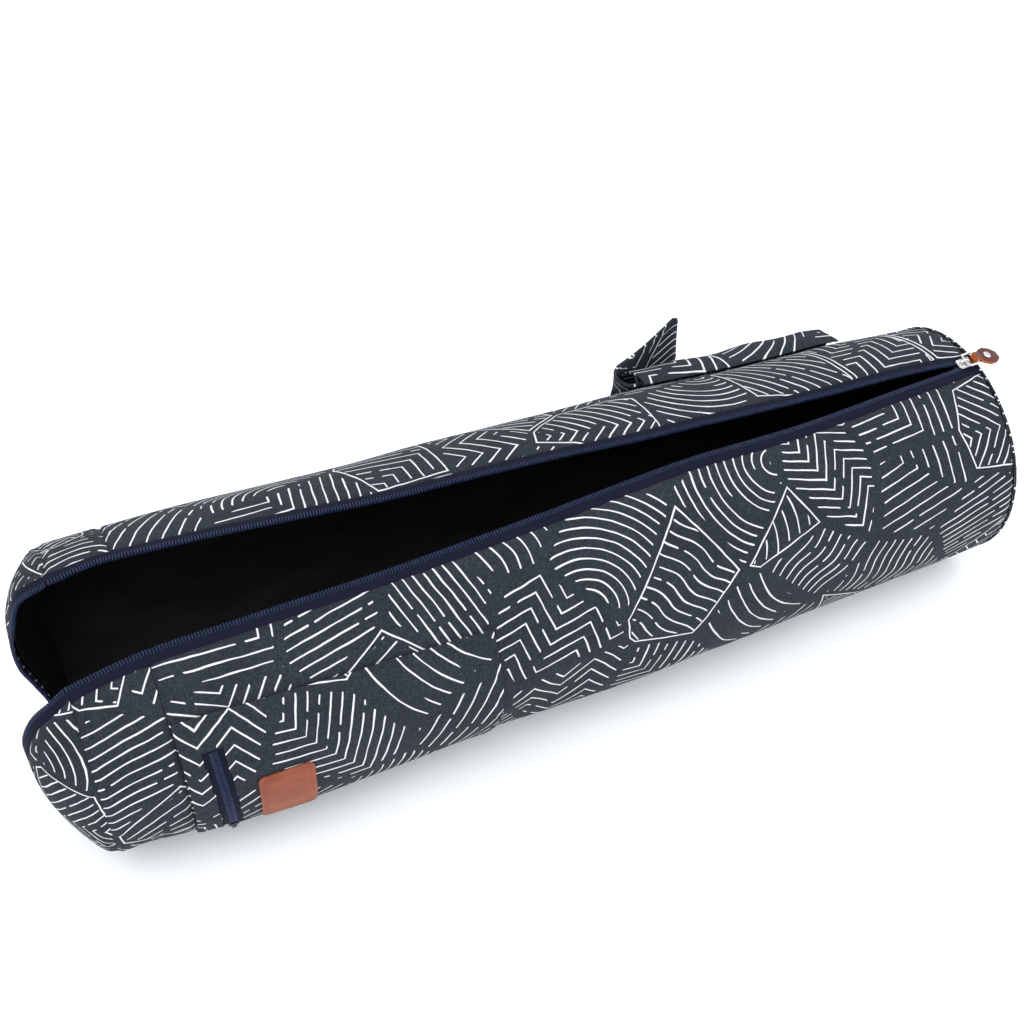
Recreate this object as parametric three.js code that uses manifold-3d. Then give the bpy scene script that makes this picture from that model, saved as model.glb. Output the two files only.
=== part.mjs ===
// A yoga mat bag of printed canvas, lying on its side with its long zip drawn open.
// The tube lies along X with its closed end at +X. The zip runs along the top and down the end at -X.
// Millimetres, +Z up. The origin is on the floor, under the middle of the tube.
import * as THREE from "three";
import Module from "manifold-3d";

// The tube and how it lies
const tubeLength = 650; // between the two end seams
const closedRadius = 85.6; // at the closed end
const openRadius = 99.4; // at the open end, where the zip's halves are spread
const floorPress = 2.5; // how far the underside is pressed flat
const zipAngle = 77.5; // degrees round from the front, where the closed zip lies
const mouthAngle = 39; // degrees between the zip's halves at the open end
const bandLength = 48; // the ring of canvas next to the open end
const endBulge = 9; // how far the closed end swells
const mouthBulge = 33; // how far the open end's halves stand out
const mouthFullness = 0.7; // nearer 0 is fuller beside the seam

// Cloth
const canvas = 1.4;
const liningCloth = 1;
const seamGap = 0.3; // between pieces that meet
const pocketCloth = 1;

// Zips
const tapeWidth = 3.4; // that shows beside the coil
const tapeCloth = 0.8;
const coilGap = 0.6; // from the tape
const coilWidth = 3.8;
const coilHeight = 2.4;
const sliderLength = 11;
const sliderWidth = 8;
const sliderPlate = 1.2;
const sliderFromEnd = 9; // from the closed end's seam to the slider's middle
const sliderClear = 0.9; // above and below the coils
const neckLength = 1.5;
const neckWidth = 1.1;

// Zip pull
const ringLength = 8.5; // between the middles of its bars
const ringWidth = 10.4;
const ringCorner = 1.7;
const ringWire = 0.9; // radius
const ringFromMiddle = 0.4; // from the slider's middle to the bar under the bridge
const bridgeSpan = 7.2;
const bridgeWidth = 2;
const bridgeWire = 1.2;
const pullTilt = 3; // degrees up from the zip
const pullDroop = 20; // degrees down from the ring
const pullLength = 22;
const pullWidth = 15;
const pullNeck = 6.4;
const pullLeather = 2.8;
const ringClear = 0.35; // round the ring's bar in the pull's eye
const eyeWall = 1;
const rivetAlong = 0.48; // as a share of the pull
const rivetRadius = 2.6;
const rivetHeight = 1;
const rivetShaft = 1.2;

// Front pocket, its zip and the leather patch
const pocketLength = 200; // to its far edge, from the band's seam
const pocketFromSeam = 1;
const pocketLift = 0.7; // from the body's canvas
const pocketTop = 31; // degrees round from the front
const pocketTopFar = 30; // at its far edge
const pocketBottom = -56;
const pocketZipFromSeam = 24; // from the band's seam to the zip's middle
const pocketZipLength = 95;
const pocketZipTop = 18; // degrees
const pocketTapeWidth = 13.4;
const pocketCoilWidth = 5;
const pocketCoilHeight = 1.4;
const pocketSliderLength = 8;
const patchFromSeam = 60.5;
const patchLength = 34;
const patchHeight = 47;
const patchTop = -3.5; // degrees
const patchCorner = 4;
const patchLeather = 1.6;
const patchLift = 0.4; // from the pocket's cloth

// Shoulder strap and the cloth tunnel that holds one end of it
const strapWidth = 38;
const strapCloth = 2.5;
const tunnelLength = 145;
const tunnelFromEnd = 77; // from the closed end's seam
const tunnelFront = 129; // degrees round from the front
const tunnelBack = 161;
const tunnelLift = 14.2;
const tunnelSlant = 2; // how far its mouth reaches further at the back
const strapAngle = 144; // degrees, the strap's middle inside the tunnel
const strapHidden = 34; // from the tunnel's far end to the strap's sewn end
const strapSewnX = -250; // where its other end is sewn to the tube's back
const strapSewnAngles = [184, 177, 169];
const strapSteps = 62;

// How the tube's form changes from the closed end (along 0) to the open end (along 1).
// swell goes from closedRadius to openRadius, mouth is a share of mouthAngle, lean is how far the
// zip turns from zipAngle in degrees, and drift is how far the axis moves back, as a share of
// openRadius.
const tubeForm = [
  { along: 0, swell: 0, mouth: 0.01, lean: 2.5, drift: 0 },
  { along: 0.015, swell: 0.03, mouth: 0.01, lean: 2.5, drift: 0 },
  { along: 0.03, swell: 0.07, mouth: 0.06, lean: 2.4, drift: 0 },
  { along: 0.12, swell: 0.26, mouth: 0.165, lean: 1.2, drift: 0 },
  { along: 0.24, swell: 0.44, mouth: 0.275, lean: 0, drift: 0 },
  { along: 0.38, swell: 0.7, mouth: 0.345, lean: 0, drift: 0.002 },
  { along: 0.54, swell: 0.84, mouth: 0.546, lean: -1.1, drift: 0.029 },
  { along: 0.7, swell: 0.92, mouth: 0.715, lean: -2, drift: 0.068 },
  { along: 0.84, swell: 1, mouth: 0.88, lean: -1.3, drift: 0.107 },
  { along: 0.93, swell: 0.99, mouth: 0.97, lean: -1.4, drift: 0.142 },
  { along: 1, swell: 0.93, mouth: 1, lean: -4.2, drift: 0.154 },
];

// Soft folds and dents in the tube. Lengths are shares of openRadius, turn is from the tube's
// length in degrees, and depth is inwards.
const folds = [
  { along: 0.51, angle: -4, length: 0.95, width: 0.17, turn: 28, depth: 0.034 },
  { along: 0.42, angle: -22, length: 0.7, width: 0.15, turn: 24, depth: -0.016 },
  { along: 0.6, angle: 38, length: 1.3, width: 0.3, turn: -6, depth: 0.016 },
  { along: 0.97, angle: 20, length: 0.34, width: 0.16, turn: 80, depth: 0.022 },
  { along: 0.96, angle: -30, length: 0.3, width: 0.12, turn: 60, depth: 0.018 },
  { along: 0.78, angle: 128, length: 0.9, width: 0.16, turn: 4, depth: 0.018 },
  { along: 0.28, angle: 205, length: 1.1, width: 0.2, turn: -12, depth: 0.022 },
  { along: 0.66, angle: 190, length: 1.2, width: 0.22, turn: 9, depth: 0.02 },
];

// The slit in the open end, from the front half's upper corner down and up to the back half's.
// across and up are shares of openRadius from the tube's axis, out is a share of mouthBulge.
const slitForm = [
  { across: -0.645, up: 0.669, out: 0.3 },
  { across: -0.615, up: 0.556, out: 0.636 },
  { across: -0.564, up: 0.336, out: 0.909 },
  { across: -0.513, up: 0.1, out: 0.94 },
  { across: -0.43, up: -0.141, out: 0.82 },
  { across: -0.324, up: -0.352, out: 0.667 },
  { across: -0.192, up: -0.537, out: 0.515 },
  { across: -0.031, up: -0.633, out: 0.424 },
  { across: 0.138, up: -0.555, out: 0.364 },
  { across: 0.225, up: -0.383, out: 0.333 },
  { across: 0.248, up: -0.196, out: 0.364 },
  { across: 0.259, up: 0.001, out: 0.515 },
  { across: 0.259, up: 0.202, out: 0.667 },
  { across: 0.248, up: 0.433, out: 0.667 },
  { across: 0.217, up: 0.588, out: 0.576 },
  { across: 0.176, up: 0.863, out: 0.303 },
];

// The strap's free run from the tunnel's mouth round behind the bag, along the floor and up
// towards its other sewn end. x is a share of half the tube's length, y and z are shares of openRadius.
// The last three columns are the way across the strap, from its upper edge to its lower edge.
const strapRun = [
  { x: 0.298, y: 0.803, z: 1.53, wx: 0.1, wy: 0.7, wz: -0.7 },
  { x: 0.286, y: 0.839, z: 1.55, wx: 0.25, wy: 0.6, wz: -0.76 },
  { x: 0.305, y: 0.957, z: 1.48, wx: 0.24, wy: 0.4, wz: -0.88 },
  { x: 0.343, y: 1, z: 1.44, wx: 0.15, wy: 0.15, wz: -0.97 },
  { x: 0.376, y: 1.01, z: 1.48, wx: 0.08, wy: 0.08, wz: -1 },
  { x: 0.414, y: 0.99, z: 1.59, wx: 0.06, wy: 0.02, wz: -1 },
  { x: 0.445, y: 0.979, z: 1.68, wx: 0.05, wy: 0, wz: -1 },
  { x: 0.459, y: 1.01, z: 1.65, wx: 0.05, wy: 0, wz: -1 },
  { x: 0.46, y: 1.04, z: 1.59, wx: 0.05, wy: 0, wz: -1 },
  { x: 0.429, y: 1.06, z: 1.49, wx: 0.06, wy: 0.02, wz: -1 },
  { x: 0.391, y: 1.08, z: 1.39, wx: 0.1, wy: 0.08, wz: -0.99 },
  { x: 0.372, y: 1.11, z: 1.31, wx: 0.35, wy: 0.2, wz: -0.91 },
  { x: 0.373, y: 1.16, z: 1.23, wx: 0.65, wy: 0.3, wz: -0.68 },
  { x: 0.381, y: 1.22, z: 1.09, wx: 0.85, wy: 0.33, wz: -0.38 },
  { x: 0.394, y: 1.29, z: 0.92, wx: 0.94, wy: 0.33, wz: -0.1 },
  { x: 0.338, y: 1.35, z: 0.604, wx: 0.92, wy: 0.38, wz: 0 },
  { x: 0.289, y: 1.48, z: 0.252, wx: 0.75, wy: 0.66, wz: 0 },
  { x: 0.203, y: 1.52, z: 0.0704, wx: 0.45, wy: 0.89, wz: 0 },
  { x: 0.0677, y: 1.53, z: 0.0201, wx: 0.1, wy: 0.99, wz: 0 },
  { x: -0.0985, y: 1.53, z: 0.0171, wx: 0, wy: 1, wz: 0 },
  { x: -0.329, y: 1.51, z: 0.0171, wx: 0, wy: 1, wz: 0 },
  { x: -0.548, y: 1.46, z: 0.0241, wx: -0.15, wy: 0.98, wz: 0 },
  { x: -0.668, y: 1.35, z: 0.171, wx: -0.5, wy: 0.8, wz: -0.1 },
  { x: -0.738, y: 1.19, z: 0.36, wx: -0.85, wy: 0.45, wz: 0 },
  { x: -0.762, y: 1.155, z: 0.62, wx: -0.99, wy: 0.1, wz: 0 },
];

const halfLength = tubeLength / 2;
const coilFrom = seamGap + tapeWidth + coilGap;
const zipWidth = coilFrom + coilWidth;
const wasm = await Module();
wasm.setup();

const radians = (degrees) => (degrees * Math.PI) / 180;
const vec = (x, y, z) => new THREE.Vector3(x, y, z);

// The value of one column at a place between a table's rows, on a smooth curve
function column(rows, name, along) {
  const last = rows.length - 1;
  const at = THREE.MathUtils.clamp(along, rows[0].along, rows[last].along);
  let k = 0;
  while (k < last - 1 && rows[k + 1].along < at) k += 1;
  const slope = (n) => {
    const before = rows[Math.max(n - 1, 0)];
    const after = rows[Math.min(n + 1, last)];
    return (after[name] - before[name]) / (after.along - before.along);
  };
  const span = rows[k + 1].along - rows[k].along;
  const t = (at - rows[k].along) / span;
  const t2 = t * t;
  const t3 = t2 * t;
  return (
    (2 * t3 - 3 * t2 + 1) * rows[k][name] +
    (t3 - 2 * t2 + t) * span * slope(k) +
    (3 * t2 - 2 * t3) * rows[k + 1][name] +
    (t3 - t2) * span * slope(k + 1)
  );
}

const share = (x) => (halfLength - x) / tubeLength;
const radiusAt = (x) =>
  closedRadius + (openRadius - closedRadius) * column(tubeForm, "swell", share(x));
const mouthAt = (x) => mouthAngle * column(tubeForm, "mouth", share(x));
const zipAt = (x) => zipAngle + column(tubeForm, "lean", share(x));
const driftAt = (x) => openRadius * column(tubeForm, "drift", share(x));
const degreesFor = (length, x) => THREE.MathUtils.radToDeg(length / radiusAt(x));

// Where the canvas is cut beside the zip, in degrees round from the front
const frontCut = (x) => zipAt(x) - mouthAt(x) / 2 - degreesFor(zipWidth, x);
const backCut = (x) => zipAt(x) + mouthAt(x) / 2 + degreesFor(zipWidth, x);
const angleAt = (x, round) => frontCut(x) + (backCut(x) - 360 - frontCut(x)) * round;

// How far the folds move the cloth at one place
function foldAt(x, angle) {
  let moved = 0;
  for (const f of folds) {
    const nearer = ((((angle - f.angle) % 360) + 540) % 360) - 180;
    const dx = x - (halfLength - f.along * tubeLength);
    const dy = radians(nearer) * openRadius;
    const c = Math.cos(radians(f.turn));
    const s = Math.sin(radians(f.turn));
    const along = (dx * c + dy * s) / (f.length * openRadius);
    const over = (dy * c - dx * s) / (f.width * openRadius);
    moved -= f.depth * openRadius * Math.exp(-(along * along + over * over));
  }
  return moved;
}

// A point of the tube, out from the canvas's outer face. The underside is pressed flat.
function onTube(x, angle, out) {
  const r = radiusAt(x) + foldAt(x, angle) + out;
  const a = radians(angle);
  const z = radiusAt(x) - floorPress + r * Math.sin(a);
  return vec(x, driftAt(x) - r * Math.cos(a), Math.max(z, -out));
}

// A closed wall between two grids of points, face and back. keep says which cells are there.
function wallBetween(across, along, face, back, options = {}) {
  const { ring = false, keep = () => true } = options;
  const points = [];
  const faces = [];
  const columns = ring ? across : across + 1;
  for (let i = 0; i < columns; i += 1)
    for (let j = 0; j <= along; j += 1) points.push(face(i, j), back(i, j));
  const at = (i, j, side) => ((i % columns) * (along + 1) + j) * 2 + side;
  const same = (a, b) => points[a].distanceToSquared(points[b]) < 1e-8;
  const triangle = (a, b, c) => {
    if (!same(a, b) && !same(b, c) && !same(a, c)) faces.push(a, b, c);
  };
  const quad = (a, b, c, d) => {
    triangle(a, b, c);
    triangle(a, c, d);
  };
  const there = (i, j) => {
    if (j < 0 || j >= along || (!ring && (i < 0 || i >= across))) return false;
    return keep((i + across) % across, j);
  };
  for (let i = 0; i < across; i += 1)
    for (let j = 0; j < along; j += 1) {
      if (!there(i, j)) continue;
      quad(at(i, j, 0), at(i + 1, j, 0), at(i + 1, j + 1, 0), at(i, j + 1, 0));
      quad(at(i, j, 1), at(i, j + 1, 1), at(i + 1, j + 1, 1), at(i + 1, j, 1));
      if (!there(i, j - 1)) quad(at(i, j, 1), at(i + 1, j, 1), at(i + 1, j, 0), at(i, j, 0));
      if (!there(i, j + 1))
        quad(at(i, j + 1, 0), at(i + 1, j + 1, 0), at(i + 1, j + 1, 1), at(i, j + 1, 1));
      if (!there(i - 1, j)) quad(at(i, j, 0), at(i, j + 1, 0), at(i, j + 1, 1), at(i, j, 1));
      if (!there(i + 1, j))
        quad(at(i + 1, j, 1), at(i + 1, j + 1, 1), at(i + 1, j + 1, 0), at(i + 1, j, 0));
    }
  return facingOut(points, faces);
}

// A geometry from points and triangles, turned so that its faces point out
function facingOut(points, faces) {
  let volume = 0;
  for (let k = 0; k < faces.length; k += 3) {
    const [a, b, c] = [points[faces[k]], points[faces[k + 1]], points[faces[k + 2]]];
    volume += a.dot(b.clone().cross(c));
  }
  const turned = volume < 0 ? faces.reverse() : faces;
  const geometry = new THREE.BufferGeometry();
  geometry.setAttribute(
    "position",
    new THREE.Float32BufferAttribute(points.flatMap((p) => p.toArray()), 3),
  );
  geometry.setIndex(turned);
  return geometry;
}

// Joins and cuts of small hardware
function solid(geometry) {
  const bare = geometry.index ? geometry.toNonIndexed() : geometry;
  const position = bare.getAttribute("position");
  const places = new Map();
  const vertices = [];
  const triangles = [];
  for (let k = 0; k < position.count; k += 1) {
    const p = [position.getX(k), position.getY(k), position.getZ(k)];
    const key = p.map((v) => Math.round(v * 1e4)).join();
    if (!places.has(key)) {
      places.set(key, vertices.length / 3);
      vertices.push(...p);
    }
    triangles.push(places.get(key));
  }
  return new wasm.Manifold(
    new wasm.Mesh({
      numProp: 3,
      vertProperties: new Float32Array(vertices),
      triVerts: new Uint32Array(triangles),
    }),
  );
}

function geometryOf(manifold) {
  const mesh = manifold.getMesh();
  const geometry = new THREE.BufferGeometry();
  geometry.setAttribute("position", new THREE.BufferAttribute(mesh.vertProperties, 3));
  geometry.setIndex(new THREE.BufferAttribute(mesh.triVerts, 1));
  return geometry;
}

const materials = {
  printedCanvas: new THREE.MeshStandardMaterial({ color: 0x353b42, roughness: 0.9 }),
  lining: new THREE.MeshStandardMaterial({ color: 0x0a0a0c, roughness: 0.85 }),
  zipTape: new THREE.MeshStandardMaterial({ color: 0x121a36, roughness: 0.75 }),
  zipCoil: new THREE.MeshStandardMaterial({ color: 0x24335c, roughness: 0.45 }),
  leather: new THREE.MeshStandardMaterial({ color: 0xa4512b, roughness: 0.55 }),
  metal: new THREE.MeshStandardMaterial({ color: 0xc9cacc, roughness: 0.25, metalness: 1 }),
};

const bag = new THREE.Group();

function add(name, geometry, material, parent = bag) {
  const mesh = new THREE.Mesh(geometry, materials[material]);
  mesh.name = name;
  parent.add(mesh);
  return mesh;
}

// Canvas tube

const roundSteps = 30;
const bandSteps = 2;
const bandSeam = -halfLength + bandLength;
const bodyFrom = halfLength - seamGap / 2;
const bodyTo = bandSeam + seamGap / 2;
const bandFrom = bandSeam - seamGap / 2;
const bandTo = -halfLength + seamGap / 2;

// Stops along the body, closer together where the zip closes
const closingStops = [halfLength - 9, halfLength - 20];
const evenSteps = 17;
const bodyStops = [
  bodyFrom,
  ...closingStops,
  ...Array.from({ length: evenSteps }, (_, k) =>
    THREE.MathUtils.lerp(closingStops[1], bodyTo, (k + 1) / evenSteps),
  ),
];
const bodySteps = bodyStops.length - 1;
const bandStops = [0, 1, 2].map((k) => THREE.MathUtils.lerp(bandFrom, bandTo, k / bandSteps));

function tubeWall(stops, outer, inner) {
  const point = (out) => (i, j) => onTube(stops[j], angleAt(stops[j], i / roundSteps), out);
  return wallBetween(roundSteps, stops.length - 1, point(outer), point(inner));
}

add("body_panel", tubeWall(bodyStops, 0, -canvas), "printedCanvas");
add("band_panel", tubeWall(bandStops, 0, -canvas), "printedCanvas");

// Open end: canvas from the seam round the tube to the slit that the zip opens

const mouthX = -halfLength - seamGap / 2;
const axisHeight = radiusAt(-halfLength) - floorPress;
const slitCorner = (angle) => onTube(mouthX, angle, 0);
const slit = new THREE.CatmullRomCurve3([
  slitCorner(frontCut(-halfLength)),
  ...slitForm.map((s) =>
    vec(
      mouthX - mouthBulge * s.out,
      driftAt(-halfLength) + openRadius * s.across,
      axisHeight + openRadius * s.up,
    ),
  ),
  slitCorner(backCut(-halfLength)),
]);
slit.arcLengthDivisions = 400;

const endSteps = 5;

// A point of the open end: round goes along the slit and the seam, inwards from the seam to the slit
function onMouth(round, inwards) {
  const rim = onTube(mouthX, angleAt(-halfLength, round), 0);
  const edge = slit.getPointAt(round);
  const point = rim.clone().lerp(edge, inwards);
  point.x = rim.x + (edge.x - rim.x) * Math.sin((inwards * Math.PI) / 2) ** mouthFullness;
  return point;
}

// The way out of the cloth at a point of the open end
function mouthNormal(round, inwards) {
  const angle = radians(angleAt(-halfLength, round));
  const radial = vec(0, -Math.cos(angle), Math.sin(angle));
  if (inwards === 0 || round === 0 || round === 1) return radial;
  const step = 0.004;
  const alongSeam = onMouth(Math.min(round + step, 1), inwards).sub(
    onMouth(Math.max(round - step, 0), inwards),
  );
  const inward = onMouth(round, inwards + step).sub(onMouth(round, inwards - step));
  return inward.cross(alongSeam).normalize();
}

const mouthPoint = (round, inwards, out) =>
  onMouth(round, inwards).addScaledVector(mouthNormal(round, inwards), out);

function mouthWall(outer, inner) {
  const point = (out) => (i, j) => mouthPoint(i / roundSteps, j / endSteps, out);
  return wallBetween(roundSteps, endSteps, point(outer), point(inner));
}
add("end_cap_open", mouthWall(0, -canvas), "printedCanvas");

// Closed end: a round piece with a slight swell

function closedEnd(steps, rings, outer, inner, rimOut) {
  const rim = (i) => onTube(halfLength, zipAt(halfLength) - (360 * i) / steps, rimOut);
  const middle = vec(0, 0, closedRadius - floorPress);
  const point = (face) => (i, j) => {
    const ring = 1 - j / rings;
    const p = rim(i).setX(0).lerp(middle, 1 - ring);
    return p.setX(halfLength + face + endBulge * (1 - ring * ring));
  };
  return wallBetween(steps, rings, point(outer), point(inner), { ring: true });
}
add("end_cap_closed", closedEnd(roundSteps, 4, seamGap / 2 + canvas, seamGap / 2, 0), "printedCanvas");

// Lining: one wall inside the tube and the open end, and a round piece at the closed end

const liningFace = -canvas - seamGap;
const liningEnd = halfLength - 2 * seamGap - liningCloth;
const liningSteps = bodySteps + bandSteps;

// Where the lining's stops lie along the tube, the same as the canvas's but for its first
function liningX(j) {
  if (j === 0) return liningEnd;
  if (j < bodySteps) return bodyStops[j];
  return THREE.MathUtils.lerp(bandSeam, mouthX, (j - bodySteps) / bandSteps);
}

function liningPoint(out) {
  return (i, j) => {
    const round = i / roundSteps;
    if (j > liningSteps) return mouthPoint(round, (j - liningSteps) / endSteps, out);
    return onTube(liningX(j), angleAt(liningX(j), round), out);
  };
}
add(
  "lining",
  wallBetween(
    roundSteps,
    liningSteps + endSteps,
    liningPoint(liningFace),
    liningPoint(liningFace - liningCloth),
  ),
  "lining",
);
const liningRim = liningFace - 0.5;
add("lining_end", closedEnd(roundSteps, 3, -seamGap, -seamGap - liningCloth, liningRim), "lining");

// Long zip: each side is a tape beside the canvas's cut edge, with the coil on its free edge

const zipStopsX = [...bodyStops.slice(0, -1), bandSeam, ...bandStops.slice(1, -1), -halfLength];
const tubeStops = zipStopsX.length - 1;
const slitStops = 13; // how far down the slit each tape goes, in the canvas's own steps

// Where one side of the zip runs: the canvas's edge, the way across the tape and the way out
function zipStop(side, k) {
  const cut = side > 0 ? frontCut : backCut;
  if (k <= tubeStops) {
    const x = zipStopsX[k];
    const a = radians(cut(x));
    const across = vec(0, Math.sin(a), Math.cos(a)).multiplyScalar(side);
    if (k === tubeStops) {
      const corner = across.clone().add(zipStop(side, k + 1).across).normalize();
      across.copy(corner.divideScalar(corner.dot(across)));
    }
    return { edge: onTube(x, cut(x), 0), across, out: vec(0, -Math.cos(a), Math.sin(a)) };
  }
  const down = (k - tubeStops) / roundSteps;
  const round = side > 0 ? down : 1 - down;
  const edge = slit.getPointAt(round);
  const tangent = slit.getTangentAt(round);
  const out = mouthNormal(round, 1);
  const across = tangent.clone().cross(out).normalize();
  return { edge, across, out: across.clone().cross(tangent).normalize() };
}

function zipStrip(side, from, width, low, high) {
  const stops = tubeStops + slitStops;
  const point = (out) => (i, j) => {
    const { edge, across, out: normal } = zipStop(side, j);
    return edge.clone().addScaledVector(across, from + width * i).addScaledVector(normal, out);
  };
  return wallBetween(1, stops, point(high), point(low));
}

for (const [name, side] of [["front", 1], ["back", -1]]) {
  const tapeHigh = -(canvas - tapeCloth) / 2;
  add("zip_tape_" + name, zipStrip(side, seamGap, tapeWidth, tapeHigh - tapeCloth, tapeHigh), "zipTape");
  const coilMiddle = -canvas / 2;
  add(
    "zip_coil_" + name,
    zipStrip(side, coilFrom, coilWidth, coilMiddle - coilHeight / 2, coilMiddle + coilHeight / 2),
    "zipCoil",
  );
}

// Zip slider, its ring and the leather pull, placed at the closed end of the zip

const sliderX = halfLength - sliderFromEnd;
const coilRise = (zipWidth - coilWidth / 2) ** 2 / (2 * closedRadius); // a flat tape off the tube
const sliderAngle = zipAt(sliderX);
const sliderPlace = new THREE.Matrix4()
  .makeBasis(
    vec(1, 0, 0),
    vec(0, Math.sin(radians(sliderAngle)), Math.cos(radians(sliderAngle))),
    vec(0, -Math.cos(radians(sliderAngle)), Math.sin(radians(sliderAngle))),
  )
  .setPosition(onTube(sliderX, sliderAngle, coilRise));

// A block from sizes and the place of its middle
const block = (x, y, z, atX, atY, atZ) =>
  solid(new THREE.BoxGeometry(x, y, z).translate(atX, atY, atZ));
const joined = (parts) => parts.reduce((whole, part) => whole.add(part));
const placed = (manifold, matrix) => geometryOf(manifold).applyMatrix4(matrix);

const coilTop = (coilHeight - canvas) / 2;
const coilBottom = -(coilHeight + canvas) / 2;
const plateTop = coilTop + sliderClear + sliderPlate;
const bridgeTop = plateTop + 2 * ringWire + 0.8 + bridgeWire;
const bridgeHeight = bridgeTop - plateTop;
const sliderParts = [
  block(sliderLength, sliderWidth, sliderPlate, 0, 0, plateTop - sliderPlate / 2),
  block(
    sliderLength,
    sliderWidth,
    sliderPlate,
    0,
    0,
    coilBottom - sliderClear - sliderPlate / 2,
  ),
  block(
    neckLength,
    neckWidth,
    plateTop - coilBottom + sliderClear,
    (neckLength - sliderLength) / 2,
    0,
    (plateTop + coilBottom - sliderClear) / 2,
  ),
  block(bridgeSpan, bridgeWidth, bridgeWire, 0, 0, bridgeTop - bridgeWire / 2),
  ...[-1, 1].map((side) =>
    block(
      bridgeWire,
      bridgeWidth,
      bridgeHeight,
      (side * (bridgeSpan - bridgeWire)) / 2,
      0,
      plateTop + bridgeHeight / 2 - 0.05,
    ),
  ),
];
add("zip_slider", placed(joined(sliderParts), sliderPlace), "metal");

// The ring lies in a plane that rises from the bridge
const ringPlace = sliderPlace
  .clone()
  .multiply(new THREE.Matrix4().makeTranslation(ringFromMiddle, 0, plateTop + ringWire + 0.4))
  .multiply(new THREE.Matrix4().makeRotationY(-radians(pullTilt)));

function ringLoop() {
  const corner = (x, y, from) => {
    const points = [];
    for (let k = 0; k <= 3; k += 1) {
      const a = radians(from + k * 30);
      points.push(vec(x + ringCorner * Math.cos(a), y + ringCorner * Math.sin(a), 0));
    }
    return points;
  };
  const x = ringLength - ringCorner;
  const y = ringWidth / 2 - ringCorner;
  const loop = [
    ...corner(x, y, 0),
    ...corner(ringCorner, y, 90),
    ...corner(ringCorner, -y, 180),
    ...corner(x, -y, 270),
  ];
  const around = 8;
  const point = (k, n) => {
    const here = loop[k % loop.length];
    const before = loop[(k + loop.length - 1) % loop.length];
    const after = loop[(k + 1) % loop.length];
    const side = after.clone().sub(before).normalize().cross(vec(0, 0, 1));
    const a = (n / around) * 2 * Math.PI;
    return here
      .clone()
      .addScaledVector(side, ringWire * Math.cos(a))
      .add(vec(0, 0, ringWire * Math.sin(a)));
  };
  const points = [];
  const faces = [];
  for (let k = 0; k < loop.length; k += 1)
    for (let n = 0; n < around; n += 1) points.push(point(k, n));
  const at = (k, n) => (k % loop.length) * around + (n % around);
  for (let k = 0; k < loop.length; k += 1)
    for (let n = 0; n < around; n += 1) {
      faces.push(at(k, n), at(k + 1, n), at(k + 1, n + 1));
      faces.push(at(k, n), at(k + 1, n + 1), at(k, n + 1));
    }
  return facingOut(points, faces);
}
add("pull_ring", ringLoop().applyMatrix4(ringPlace), "metal");

const pullPlace = ringPlace
  .clone()
  .multiply(new THREE.Matrix4().makeTranslation(ringLength, 0, 0))
  .multiply(new THREE.Matrix4().makeRotationY(radians(pullDroop)));
const pullOutline = [
  [0, pullNeck / 2],
  [0.16, pullNeck / 2],
  [0.5, pullWidth / 2],
  [0.82, pullWidth * 0.4],
  [1, pullWidth * 0.2],
];
const pullShape = new THREE.Shape([
  ...pullOutline.map(([along, half]) => new THREE.Vector2(along * pullLength, -half)),
  ...pullOutline.map(([along, half]) => new THREE.Vector2(along * pullLength, half)).reverse(),
]);
const pullFlat = new THREE.ExtrudeGeometry(pullShape, { depth: pullLeather, bevelEnabled: false });
const rod = (radius, length, steps) => new THREE.CylinderGeometry(radius, radius, length, steps);
const upright = (radius, length, steps, x, z) =>
  solid(rod(radius, length, steps).rotateX(Math.PI / 2).translate(x, 0, z));
const eyeRadius = ringWire + ringClear;
const rivetAt = rivetAlong * pullLength;
const pull = solid(pullFlat.translate(0, 0, -pullLeather / 2))
  .add(solid(rod(eyeRadius + eyeWall, pullNeck, 20)))
  .subtract(solid(rod(eyeRadius, pullNeck * 3, 16)))
  .subtract(upright(rivetShaft + 0.2, pullLeather * 3, 16, rivetAt, 0));
add("pull_tab", placed(pull, pullPlace), "leather");
const rivetOut = pullLeather / 2 + 0.2 + rivetHeight / 2;
const rivet = upright(rivetShaft, pullLeather + rivetHeight, 16, rivetAt, 0)
  .add(upright(rivetRadius, rivetHeight, 20, rivetAt, rivetOut))
  .add(upright(rivetRadius, rivetHeight, 20, rivetAt, -rivetOut));
add("pull_rivet", placed(rivet, pullPlace), "metal");

// Front pocket, with a window that its zip stands in

const pocketFrom = bandSeam + pocketFromSeam;
const pocketLow = pocketLift;
const pocketHigh = pocketLift + pocketCloth;
const zipMiddle = bandSeam + pocketZipFromSeam;
const windowHalf = pocketTapeWidth / 2 + seamGap;
const pocketZipBottom = pocketZipTop - THREE.MathUtils.radToDeg(pocketZipLength / openRadius);
const pocketStopsX = [
  pocketFrom,
  zipMiddle - windowHalf,
  zipMiddle + windowHalf,
  ...[0.18, 0.33, 0.48, 0.64, 0.8, 0.92, 1].map((share) =>
    THREE.MathUtils.lerp(pocketFrom, bandSeam + pocketLength, share),
  ),
];
const pocketTopAt = (x) =>
  THREE.MathUtils.lerp(pocketTop, pocketTopFar, (x - pocketFrom) / (pocketLength - pocketFromSeam));
const pocketStopsRound = [
  ...[0, 0.5].map((t) => ({ t })),
  ...[0, 0.11, 0.22, 0.33, 0.44, 0.55, 0.66, 0.77, 0.88, 1].map((t) => ({
    angle: THREE.MathUtils.lerp(pocketZipTop, pocketZipBottom, t),
  })),
  ...[0.33, 0.66, 1].map((t) => ({
    angle: THREE.MathUtils.lerp(pocketZipBottom, pocketBottom, t),
  })),
];
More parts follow.
